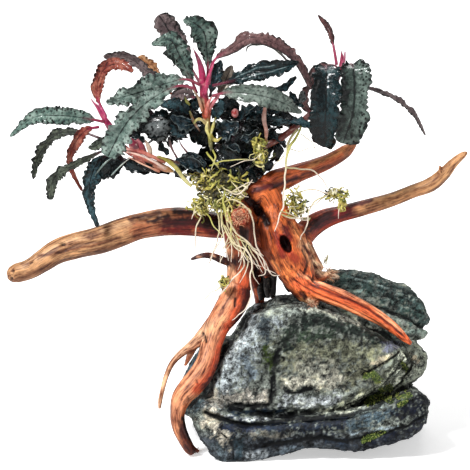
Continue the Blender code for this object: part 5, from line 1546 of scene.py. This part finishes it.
# %% The three stems, each with its buds: line, colours from foot to tip
STEMS = {
    "top_shoot": [
        ([(212,152,-4,1.6), (210,139,-5,2.0), (208,126,-6,2.8), (207,116,-6,4.6), (205,102,-6,4.6),
         (203.5,88,-6,4.0), (202,74,-6,3.6), (199,62,-6.5,2.2), (193,49,-7,0.5)], ["#2c2a16", "#8a8438", "#c8a860",
         "#d86a48", "#b02c30", "#a81c50", "#b02058", "#8f1a4c", "#7a2a4a"]),
        ([(208,112,-8,2.4), (213,104,-11,2.0), (219,97,-12,0.6)], ["#c8503c", "#d87a80", "#c86a7c"]),
        ([(206,118,-9,2.4), (208,106,-12,2.0), (212,98,-13,0.6)], ["#c8553c", "#cf6a5c", "#d88a8c"]),
        ([(203,112,-9,1.8), (199,100,-10,1.2), (193,90,-10,0.6)], ["#b56a4a", "#b89a7a", "#a8907a"]),
        ([(205,96,-9,2.2), (209,78,-10,1.8), (216,60,-10,0.6)], ["#a81c50", "#c23a66", "#d0507a"]),
        ([(209,132,-8,1.4), (216,141,-10,2.0), (222,138,-11,0.5)], ["#b8a84a", "#c2b254", "#a89a48"]),
        ([(207,126,-8,1.6), (199,120,-10,1.2), (194,124,-10,0.5)], ["#d8c08a", "#c0b070", "#9a9a50"]),
        ([(208,122,-10,1.2), (207,130,-11,2.0), (210,138,-12,1.0), (211,144,-12,0.4)], ["#c8b878", "#d8cc84",
         "#b8b050", "#6a6a2a"]),
        ([(216,118,-10,0.8), (213,128,-12,1.4), (210,138,-12,0.5)], ["#6a6a34", "#c2b866", "#a8a248"]),
        ([(265,108,-13,1.4), (264,120,-13,2.2), (266,132,-12,2.0), (266,142,-9,1.0)], ["#a86a5c", "#c49a8c",
         "#b27a6a", "#8a5a3a"]),
        ([(200,132,-8,1.0), (194,122,-9,1.2), (190,112,-9,0.6)], ["#5a3a2a", "#9a6a4a", "#7a7a3c"]),
        ([(230,100,-10,1.2), (226,92,-9,1.8), (230,84,-8,0.8)], ["#8a8a7c", "#b8b4a4", "#8a8478"]),
        ([(246,54,-15,0.5), (248,49,-15,1.1), (260,47,-15,0.9), (273,51,-15,1.0), (284,60,-14,1.1),
         (291,72,-12,0.5)], ["#20241e", "#2a302a", "#3a3c34", "#2c302a", "#4a4440", "#6a5a58"]),
        ([(178,160,-3,0.8), (172,148,-3,1.2), (169,138,-2,0.8)], ["#5a2a30", "#7a4a4c", "#3a3a3c"]),
        ([(190,156,-3,0.8), (182,146,-3,1.2), (178,138,-2,0.8)], ["#5a2a30", "#8a5a5c", "#3a3a3c"]),
        ([(190,106,-6,1.0), (187,102,-7,1.8), (185,97,-7,0.6)], ["#8a8a3c", "#a0a048", "#7c7c34"]),
    ],
    "left_shoot": [
        ([(174,172,-12,1.2), (168,170,-12,3.2), (152,163,-11,4.0), (138,157,-11,3.6), (126,149,-11,3.4),
         (116,137,-11,3.6), (109,125,-11,3.2), (101,112,-11,2.0), (92,100,-11,0.5)], ["#b08a44", "#c98a5a",
         "#c4664c", "#c86a5a", "#7a1a2c", "#a01c48", "#b4205c", "#c03a6c", "#c86a86"]),
        ([(138,151,-13,3.4), (134,145,-14,5.0), (130,140,-14,2.2)], ["#4a1420", "#6e1a2e", "#8a2440"]),
        ([(146,154,-12,2.2), (142,147,-13,3.6), (138,140,-13,1.4)], ["#5a1420", "#8a2036", "#b06a70"]),
        ([(152,158,-12,1.6), (150,149,-14,2.2), (146,141,-15,0.8)], ["#b89a84", "#c8ae98", "#a89080"]),
        ([(166,163,-14,1.4), (150,156,-14,2.0), (136,151,-14,1.8), (124,150,-14,0.8)], ["#a85a44", "#c87a68",
         "#b04a48", "#e0b0a4"]),
        ([(166,169,-15,0.9), (150,160,-16,1.0), (134,154,-16,0.9), (122,152,-15,0.5)], ["#e8c0ac", "#f0d4c6",
         "#e4b8a8", "#d09a90"]),
        ([(160,172,-14,0.9), (146,166,-15,1.0), (130,158,-15,0.6)], ["#c87a5a", "#e8b49a", "#d89a84"]),
        ([(108,122,-13,1.6), (103,110,-13,1.2), (96,104,-13,0.4)], ["#b4205c", "#d04a80", "#c86a8a"]),
        ([(192,187,-14,1.4), (185,180,-14,2.2), (176,168,-15,2.2), (166,160,-15,1.8), (158,157,-15,0.8)],
         ["#c8c07a", "#d8d090", "#c4b858", "#a89a3c", "#8a7a30"]),
        ([(180,164,-13,1.6), (168,160,-13,1.6), (158,157,-13,0.8)], ["#3a1a14", "#6a3020", "#8a6a34"]),
        ([(112,176,-18,0.5), (122,166,-18,0.7), (134,156,-17,0.6)], ["#7c908c", "#a4b4ae", "#c4b4a8"]),
        ([(96,176,-20,0.5), (106,164,-20,0.7), (116,156,-19,0.5)], ["#5c706c", "#8ca09a", "#6a7c78"]),
    ],
    "right_shoot": [
        ([(258,148,-1,3.0), (270,144,-1,3.2), (287,134,-1,3.4), (299,124,-1,3.2), (311,114,-2,3.0), (324,98,-4,2.8),
         (335,82,-5,2.8), (340,70,-5,2.6), (341,60,-5,1.8), (340,52,-5,0.4)], ["#4a2018", "#6a2a1e", "#7a2c20",
         "#6a2a24", "#5a2a2c", "#5c2c34", "#7a2a40", "#a02a52", "#a8385c", "#8a3a50"]),
        ([(340,72,-7,1.6), (343,62,-7,1.0), (344,54,-7,0.4)], ["#a02a52", "#c05a7a", "#b07088"]),
        ([(339,76,-7,1.6), (335,68,-10,1.4), (326,67,-15,1.0)], ["#8a2a4c", "#9a4a5c", "#6a5a5a"]),
        ([(341,76,-7,1.6), (344,68,-10,1.4), (351,67,-15,1.0)], ["#8a2a4c", "#9a4a5c", "#6a5a5a"]),
    ],
}
print("stems:", {node: len(branches) for node, branches in STEMS.items()})

# %% Stems grown
for node, branches in STEMS.items():
    lines = [on_drawing(path) for path, _ in branches]
    mesh = tinted_rods(lines, [hues for _, hues in branches], 4, 6)
    points, normals = points_of(mesh)
    move_points(mesh, points + normals * (ripple(points, 0.004, (1.0, 1.0, 2.5)) * 0.0005)[:, None])
    piece("grown_" + node, mesh, [STEM], "shoot", node)

# %% [markdown]
# ## The flower bud
#
# One small pink bud sits in the thicket: a ball of overlapping bracts, made from an icosphere that is pinched
# along its ribs.

# %% Bud
body = bmesh.new()
bmesh.ops.create_icosphere(body, subdivisions=4, radius=1.0)
for vertex in body.verts:
    turn = noise.noise(vertex.co * 2.0)
    pleat = 1.0 - 0.14 * abs(sin(2.5 * (vertex.co.x + 0.6 * vertex.co.z) * pi + turn))
    vertex.co = at(235, 114, -6) + beside(vertex.co * pleat, 4, 5, 2.4)
bud = meshed(body, "bud", smooth=True)
points, _ = points_of(bud)
pink = np.array([linear("#e8a3a0"), linear("#b8302f")])
share = np.clip(ripple(points, 0.0016) * 1.4 + 0.45, 0.0, 1.0)[:, None]
mark(bud, "tint", pink[0] * (1 - share) + pink[1] * share)
piece("pink_bud", bud, [STEM], "shoot", "flower_bud")

# %% [markdown]
# ## Aerial roots
#
# Pale roots hang from the plant over the trunk and the limbs. The thick ones are also in the CAD solids, the
# fine ones are only here. Each is a curve of a few points with its half thickness in squares.

# %% Roots of the CAD frame and the finer ones between them
ROOTS = [
    [(297,130,-5,1.6), (289,144,-7,1.9), (286,160,-8,1.6), (285,176,-9,1.3), (284,193,-12,1.3), (281,213,-20,1.2),
     (274,231,-25,0.5)],
    [(222,203,-18,1.0), (230,199,-19,1.2), (240,203,-21.5,1.2), (248,210,-22.5,1.2), (254,225,-22,1.1),
     (256,243,-21.5,1.1), (262,258,-21.5,1.1), (271,272,-22,1.0), (280,275,-22.5,0.5)],
    [(227,208,-19,1.2), (229,221,-23,1.2), (234,231,-25,1.2), (244,241,-25.5,1.2), (255,251,-25.5,1.1),
     (263,260,-25,1.0), (265,274,-23.5,0.8), (259,277,-23,0.5)],
    [(221,208,-18.5,1.2), (224,225,-22.5,1.2), (231,239,-25.5,1.2), (244,250,-28,1.2), (252,261,-28,1.2),
     (250,277,-28,1.1), (251,293,-29,1.0), (245,308,-31,0.9), (231,320,-34,0.5)],
    [(224,211,-16,1.1), (227,225,-19.5,1.1), (238,244,-21.5,1.1), (244,264,-24.5,1.1), (234,277,-26,1.1),
     (224,290,-29.5,1.0), (210,305,-30,0.4)],
    [(216,207,-17,1.1), (219,224,-18.5,1.1), (217,241,-19,1.0), (212,256,-21,0.9), (206,269,-23,0.4)],
    [(203,206,-12.5,1.1), (199,222,-13,1.0), (196,238,-13,0.9), (193,254,-12,0.4)],
    [(286,168,0,1.1), (300,169,3,1.1), (311,170,5,1.0), (322,179,7,0.9), (329,191,7,0.5)],
    [(326,195,5,1.0), (315,203,2,1.1), (309,213,-1,1.1), (307,224,-5,1.0), (300,240,-18,0.5)],
    [(281,214,-24,1.1), (294,218,-18,1.1), (309,219,-8,0.7)],
    [(281,211,-22,0.7), (292,215,-18,0.8), (302,220,-12,0.7), (309,219,-8,0.6)],
    [(222,186,-17,0.9), (228,191,-20,1.0), (236,195,-21,1.0), (245,190,-20,0.9), (252,180,-17,0.5)],
    [(226,196,-19,0.8), (236,190,-21,0.8), (246,184,-19,0.7), (254,184,-17,0.4)],
    [(231,181,-17,0.7), (236,188,-20,0.8), (243,195,-21,0.6), (249,197,-20,0.3)],
    [(231,236,-25.5,0.9), (236,246,-26,0.9), (238,257,-26,0.4)],
    [(219,214,-18,1.0), (222,228,-20,1.0), (225,244,-23,0.9), (229,262,-25,0.4)],
    [(226,229,-22,0.8), (221,240,-21,0.8), (214,251,-21,0.7), (208,266,-23,0.3)],
    [(223,224,-22,0.8), (230,236,-25,0.8), (232,250,-26,0.7), (231,262,-26,0.3)],
    [(236,237,-26,0.9), (248,245,-27,0.9), (258,255,-26,0.8), (263,268,-25,0.7), (276,273,-23,0.4)],
    [(238,246,-26,0.8), (247,256,-27,0.8), (255,264,-26,0.7), (261,267,-25,0.3)],
    [(251,268,-28,0.8), (255,276,-27,0.7), (259,284,-26,0.3)],
    [(244,250,-27,0.8), (248,262,-27,0.8), (246,274,-27,0.7), (240,283,-27,0.3)],
    [(233,240,-26,0.7), (226,250,-24,0.7), (221,262,-24,0.6), (217,270,-24,0.3)],
    [(224,283,-28.5,0.8), (214,291,-29,0.8), (206,297,-28,0.8), (193,302,-24,0.4)],
    [(195,210,-12.5,0.9), (195,214,-13,0.8), (192,219,-13,0.4)],
    [(186,202,-12,0.6), (192,203,-14,0.7), (196,208,-14,0.6), (194,215,-14,0.3)],
    [(341,199,10,0.9), (340,208,9,0.9), (340,218,9,0.4)],
    [(330,193,9,0.8), (322,199,6,0.8), (312,207,3,0.7), (300,214,-6,0.5)],
    [(297,193,1,0.9), (308,190,5,0.9), (320,191,8,0.9), (330,193,9,0.9)],
    [(283,156,-6,0.7), (276,163,-6,0.7), (272,170,-4,0.5)],
    [(290,150,-5,0.6), (300,152,-3,0.6), (311,148,-2,0.5), (317,149,-2,0.3)],
    [(299,134,-4,0.5), (311,143,-2,0.6), (315,152,-1,0.5), (315,158,-1,0.3)],
    [(262,152,-12,0.7), (254,160,-13,0.7), (243,162,-14,0.6), (230,167,-13,0.4)],
    [(233,230,-25,0.8), (227,243,-25,0.8), (222,252,-23,0.6), (220,262,-22,0.3)],
    [(236,234,-26,0.8), (240,247,-27,0.8), (241,260,-27,0.6), (238,270,-27,0.3)],
    [(240,238,-26,0.8), (247,249,-28,0.8), (251,258,-28,0.7), (259,270,-26,0.3)],
    [(244,241,-26,0.8), (252,247,-27,0.8), (258,251,-26,0.6), (264,256,-25,0.3)],
    [(229,238,-25,0.8), (237,249,-27,0.8), (245,257,-28,0.6), (250,262,-28,0.3)],
    [(246,244,-27,0.7), (244,254,-28,0.7), (238,262,-28,0.3)],
    [(231,240,-25,0.7), (224,246,-23,0.7), (218,250,-21,0.3)],
    [(248,246,-27,0.8), (255,260,-26,0.8), (262,272,-24,0.3)],
]
YELLOW_ROOTS = [
    [(222,205,-17,1.6), (228,214,-21,1.7), (232,224,-23,1.6), (230,235,-25,1.5), (234,245,-26,0.6)],
    [(226,190,-17,1.4), (224,203,-19,1.5), (228,218,-22,1.3), (236,232,-25,0.6)],
    [(207,152,-10,1.3), (212,160,-11,1.5), (218,168,-12,0.6)],
    [(213,150,-10,1.2), (215,158,-11,1.3), (212,170,-12,0.6)],
    [(210,166,-13,0.9), (222,162,-15,0.9), (236,160,-15,0.8), (248,161,-14,0.4)],
    [(302,122,-4,0.9), (298,134,-6,1.6), (290,146,-8,2.0), (287,158,-9,1.6), (285,168,-9,0.8)],
    [(205,212,-13,1.0), (210,220,-15,1.0), (216,228,-18,0.8), (222,236,-21,0.4)],
]
CREAM = ["#bcb272", "#e4d6b4", "#f2e2ce", "#ecdccb"]
YELLOW = ["#9a9a3c", "#bdb957", "#cfc979", "#dfd7a4"]
ROOT_SLIM = 0.72
print("hanging roots:", len(ROOTS) + len(YELLOW_ROOTS))

# %% [markdown]
# No root hangs straight. Each line is made finer and shifted by slow noise, then thinned a little, as wet roots
# look slim.

# %% Roots that wander
def rooted(path, wander, seed):
    fine_path = smooth_line([(*place, half) for place, half in on_drawing(path)], 4 * (len(path) - 1))
    shift = np.stack([ripple(fine_path[:, :3], 0.007, seed=seed + more) for more in (0.0, 20.0, 40.0)], axis=1)
    return [(Vector(row[:3]) + Vector(move) * wander, row[3] * ROOT_SLIM) for row, move in zip(fine_path, shift)]


root_lines = [rooted(path, 0.0012, 3.0 * number) for number, path in enumerate(ROOTS + YELLOW_ROOTS)]
root_colors = [CREAM] * len(ROOTS) + [YELLOW] * len(YELLOW_ROOTS)
roots = tinted_rods(root_lines, root_colors, 2, 2)
ROOT_NODES = [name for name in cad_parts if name.startswith("root_")]
piece("hanging_roots", roots, [ROOT], "hanging_root", *ROOT_NODES)

# %% [markdown]
# ## Moss
#
# The moss is a tangle of fine branching strands around the foot of the plant, over a dark felt.
# Each strand wanders from a random start and turns back when it leaves the lump that the CAD solid fills there.
# A seed keeps it the same each time.

# %% Lumps of the tufts, how many strands each lump holds, and how large its felt is
TUFTS = {
    "moss_main": ([(205,180,-6,12,12,7), (222,181,-8,16,13,8), (237,188,-8,10,14,7), (213,197,-12,14,13,7),
     (201,206,-11,8,9,5), (226,205,-14,13,10,6)], 62, 0.62),
    "moss_upper": ([(259,146,-10,8,9,4), (260,157,-10,8,9,4)], 34, 0.3),
    "moss_fork": ([(293,198,0,9,9,6), (291,210,0,8,9,6), (300,206,3,6,11,5)], 26, 0.3),
    "moss_on_limb": ([(340,193,12,9,6,4), (332,194,12,6,4,3), (342,202,10,3,7,2)], 22, 0.35),
    "moss_on_leg": ([(224,283,-26,4.5,6,2.4)], 20, 0.6),
}
MOSS_COLORS = ["#d8cc6c", "#c2b652", "#a4a24c", "#e8dfa0", "#767a34", "#b4a258", "#f4edc6", "#cec464", "#3c3e14"]
FELT_COLORS = ["#14140a", "#2c2c12", "#5a5524", "#3a2a14"]
THREAD_HALF = 0.00050
START_REACH = 0.55
LONG_STRAND, SHORT_STRAND = (8, 13, 0.0011, 0.0018, 1.0), (4, 8, 0.0008, 0.0014, 1.35)
print("tufts:", ", ".join(TUFTS))

# %% A wandering strand
def lump_size(lump):
    return Vector((lump[3] * SQUARE, lump[5] * MM, lump[4] * SQUARE))


def wander(draws, lump, steps, stride, thick_share):
    center, sizes = at(*lump[:3]), lump_size(lump)
    place = Vector(a * b for a, b in zip(drawn(draws, START_REACH), sizes))
    heading = drawn(draws, 1, (0, 0, -0.2)).normalized()
    half = THREAD_HALF * thick_share * draws.uniform(0.6, 1.5)
    line = []
    for step in range(steps):
        line.append((center + place, half * (1.0 - 0.7 * step / steps)))
        heading += drawn(draws, 0.28, (0, 0, -0.03))
        outside = Vector(a / b for a, b in zip(place, sizes))
        if outside.length > 0.95:
            heading -= outside * 0.5
        heading.normalize()
        place = place + heading * stride
    return line


print("strands ready")

# %% A dark felt under the strands
def felt(lumps, share):
    balls = []
    for lump in lumps:
        body = bmesh.new()
        bmesh.ops.create_icosphere(body, subdivisions=4, radius=1.0)
        center, sizes = at(*lump[:3]), lump_size(lump) * share
        for vertex in body.verts:
            rough = 1.0 + 0.45 * noise.noise(vertex.co * 2.2 + center * 300.0) + 0.2 * noise.noise(vertex.co * 6.0)
            vertex.co = center + Vector(a * b * rough for a, b in zip(vertex.co, sizes))
        balls.append(meshed(body, "felt"))
    mesh = together(balls)
    points, _ = points_of(mesh)
    tones = np.array([linear(color)[:3] for color in FELT_COLORS])
    pick = np.clip((ripple(points, 0.0018) + 0.45) * 3.3, 0.0, 3.0)
    tint = np.stack([np.interp(pick, np.arange(4), column) for column in tones.T], axis=1)
    mark(mesh, "tint", np.concatenate([tint, np.ones((len(tint), 1))], axis=1))
    return mesh


print("felt ready")

# %% The tufts
draws = Random(5)
for node, (lumps, count, felt_share) in TUFTS.items():
    lines, colors = [], []
    for lump in lumps:
        for number in range(count):
            fewest, most, shortest, longest, thick_share = SHORT_STRAND if number % 3 else LONG_STRAND
            steps, stride = draws.randint(fewest, most), draws.uniform(shortest, longest)
            lines.append(wander(draws, lump, steps, stride, thick_share))
            hue = draws.choice(MOSS_COLORS)
            colors.append([hue, hue])
    tuft = together([tinted_rods(lines, colors, 0, 1, "POLY"), felt(lumps, felt_share)])
    piece("tuft_of_" + node, tuft, [MOSS], "moss", node)

# %% [markdown]
# Fine hairs and frayed fibres finish the wood: curled fibres on the broken stub, wisps at the heel of the
# trunk, hairs beside it, and a frayed toe. Nearly black rootlets, one of them a wide lump, fill the gap behind the
# trunk as painted shade.

# %% Frayed fibres: middle, spread in squares and millimetres, count, length in millimetres, lean, colors
FRAYS = {
    "stub_fibres": ((239,216.5,-27.5), (9.5,8.5,2.0), 190, 3.2, (0.0,-0.25,0.0), 0.7, ["#e4a47c", "#cc8058",
     "#f4c8a0", "#9a4a30", "#48160e", "#ecb48c"]),
    "heel_wisps": ((329,274,6), (8,6,2.5), 80, 5.0, (0.5,0.0,-0.35), 0.22, ["#e8c4a0", "#f4dcc0", "#c89068",
     "#f0d0b0", "#a86a44"]),
    "heel_hairs": ((325,263,6), (4,6,2.0), 16, 6.0, (0.25,0.0,1.1), 0.1, ["#d8d0a0", "#b8a878", "#8a8a5a"]),
    "bark_edge": ((312,258,1), (4,9,2.5), 70, 3.2, (0.35,0.0,-0.7), 0.3, ["#c89068", "#e4b48c", "#8a4a30",
     "#d8a078", "#4a2016"]),
    "toe_fray": ((192,449,-30), (6,3,3.0), 50, 3.0, (0.35,0.0,-0.4), 0.35, ["#e0b090", "#c07a58", "#7a3a28",
     "#f0d0b4"]),
    "knob_fray": ((312,304,-22), (6,4,2.0), 40, 2.6, (0.2,-0.2,-0.4), 0.4, ["#e8c0a0", "#d09070", "#b06a4a"]),
}
# Painted shade: nearly black rootlets in the gap behind the trunk, the last one a wide lump.
SHADOW_ROOTLETS = [
    [(262,264,2,3.5), (266,276,2,3.2), (267,288,1,2.6), (268,298,-1,1.8)],
    [(268,262,6,4.0), (273,274,6,3.4), (274,286,5,2.6), (273,297,4,2.0)],
    [(276,264,8,4.0), (281,274,8,3.4), (286,284,8,2.4), (290,292,8,1.4)],
    [(255,266,8,4.0), (259,280,8,3.4), (261,294,7,3.0), (262,300,6,2.4)],
    [(284,268,12,3.4), (290,278,12,2.8), (298,288,12,2.0)],
    [(267,262,10,9.0), (268,274,10,8.5), (267,286,10,6.0), (266,298,10,3.0)],
]
print("frays:", ", ".join(FRAYS))

# %% Fibres grown, and nearly black rootlets as painted shade behind the trunk
draws = Random(23)
lines, colors = [], []
for middle, (wide, tall, deep), count, long, lean, stray, hues in FRAYS.values():
    for _ in range(count):
        place = at(*middle) + beside(drawn(draws, 0.45), wide, tall, deep)
        heading = Vector(lean) + drawn(draws, 1) * stray
        half = draws.uniform(0.00012, 0.0003)
        stride = long * MM * draws.uniform(0.5, 1.0) / 5.0
        line = []
        for step in range(6):
            line.append((place.copy(), half * (1.0 - 0.13 * step)))
            heading = heading.normalized() + drawn(draws, 1) * 0.6 * stray
            place = place + heading.normalized() * stride
        lines.append(line)
        hue = draws.choice(hues)
        colors.append([hue, hue])
frays = tinted_rods(lines, colors, 0, 1, "POLY")
SHADOW_ROOTLET_COLORS = ["#1a0b09", "#0e0605", "#0a0403"]
# The nearly black rootlets that stand for the shade behind the trunk.
rootlets = tinted_rods([on_drawing(path) for path in SHADOW_ROOTLETS], [SHADOW_ROOTLET_COLORS] * len(SHADOW_ROOTLETS), 3, 6)
points, normals = points_of(rootlets)
move_points(rootlets, points + normals * (ripple(points, 0.003, (1.0, 1.0, 3.0)) * 0.001)[:, None])
piece("frayed_fibres", together([frays, rootlets]), [ROOT], "hanging_root")

# %% Short moss that grows on the wet ledges of the stone
draws = Random(31)
points, normals = points_of(bpy.data.objects["stone_layers"].data)
mossy = strongest(swayed(points, *ROCK_SWAY), MOSSY, fronting(normals))
grown = np.flatnonzero(mossy > 0.5)
lines, colors = [], []
for row in draws.sample(list(grown), min(420, len(grown))):
    place, heading = Vector(points[row]), Vector(normals[row])
    half = draws.uniform(0.00018, 0.00034)
    line = []
    for step in range(4):
        line.append((place.copy(), half * (1.0 - 0.22 * step)))
        heading = (heading + drawn(draws, 0.5, (0, 0, -0.1))).normalized()
        place = place + heading * draws.uniform(0.0004, 0.0008)
    lines.append(line)
    hue = draws.choice(["#667a26", "#8a9644", "#42561a", "#a4a856", "#2c3c12"])
    colors.append([hue, hue])
piece("moss_on_stone", tinted_rods(lines, colors, 0, 1, "POLY"), [MOSS], "moss")

# %% [markdown]
# The photo was taken on pure white, so the floor and the world are a plain pale paper that glows a little for
# the camera. To everything else they are ordinary matt paper: the glow is only switched on for camera rays, so
# it adds no light to the plant.

# %% Floor
def stage_mesh(name, size, color):
    body = bmesh.new()
    bmesh.ops.create_grid(body, x_segments=1, y_segments=1, size=size)
    mesh = meshed(body, name)
    obj = bpy.data.objects.new(name, mesh)
    bpy.context.scene.collection.objects.link(obj)
    material, tree = new_tree(name + "_paper")
    seen = add(tree, "LightPath", {}, 0)
    glow = add(tree, "Math", {0: seen, 1: 0.55}, operation="MULTIPLY")
    matt = {"Roughness": 0.9, "Specular IOR Level": 0.1}
    lit = {"Emission Color": color, "Emission Strength": glow}
    shader = add(tree, "BsdfPrincipled", {"Base Color": color, **lit, **matt})
    add(tree, "OutputMaterial", {"Surface": shader})
    mesh.materials.append(material)
    return obj


floor = stage_mesh("floor", 3.0, "#f7f7f7")
print("floor:", tuple(round(side, 1) for side in floor.dimensions), "m")

# %% World, white to the camera and dimmer to the plant
world = bpy.data.worlds.new("studio")
bpy.context.scene.world = world
world.use_nodes = True
sky = world.node_tree
sky.nodes.clear()
dim = add(sky, "Background", {"Color": "#ffffff", "Strength": 0.3})
white = add(sky, "Background", {"Color": "#ffffff", "Strength": 1.2})
both = add(sky, "MixShader", {0: add(sky, "LightPath", {}, 0), 1: dim, 2: white})
add(sky, "OutputWorld", {"Surface": both})
print("world nodes:", len(sky.nodes))

# %% [markdown]
# The light is a studio's: one broad key from the upper left in front, which draws the dark sides of the limbs
# and the shadow under the rock, a weak fill from the right and a rim from behind. A sun with a wide angle makes
# the key's shadows soft at their edges.

# %% Lamps
def stand(data, place=(0.0, 0.0, 0.0), facing=(0.0, 0.0, -1.0)):
    obj = bpy.data.objects.new(data.name, data)
    obj.location = place
    obj.rotation_euler = Vector(facing).to_track_quat("-Z", "Y").to_euler()
    bpy.context.scene.collection.objects.link(obj)
    return obj


HEART = Vector((0.0, 0.0, 0.1))
for name, place, size, watts in (("fill", (0.9, -0.6, 0.5), 0.6, 2.0), ("rim", (0.1, 0.9, 0.9), 0.5, 4.0)):
    lamp = bpy.data.lights.new(name, "AREA")
    lamp.shape, lamp.size, lamp.energy = "DISK", size, watts
    stand(lamp, place, HEART - Vector(place))
key = bpy.data.lights.new("key", "SUN")
key.angle, key.energy = radians(12.0), 3.3
stand(key, facing=(0.50, 0.62, -0.78))
print("lamps:", len(bpy.data.lights))

# %% [markdown]
# The photo shows no strong perspective, as a long lens from far away would. The camera stands 3.2 m off in the
# direction that the drawing is seen from, and its focal length is worked out so that the frame is as wide as
# the photo's 470 squares.

# %% Camera
DISTANCE, FRAME_WIDTH = 3.2, 0.282
lens = bpy.data.cameras.new("front_camera")
lens.sensor_width = 36.0
lens.lens = lens.sensor_width * DISTANCE / FRAME_WIDTH
lens.clip_end = 20.0
bpy.context.scene.camera = stand(lens, at(235, 235, 0) + TO_VIEWER * DISTANCE, -TO_VIEWER)
bpy.context.scene.view_settings.view_transform = "Standard"
print("focal length:", round(lens.lens), "mm")
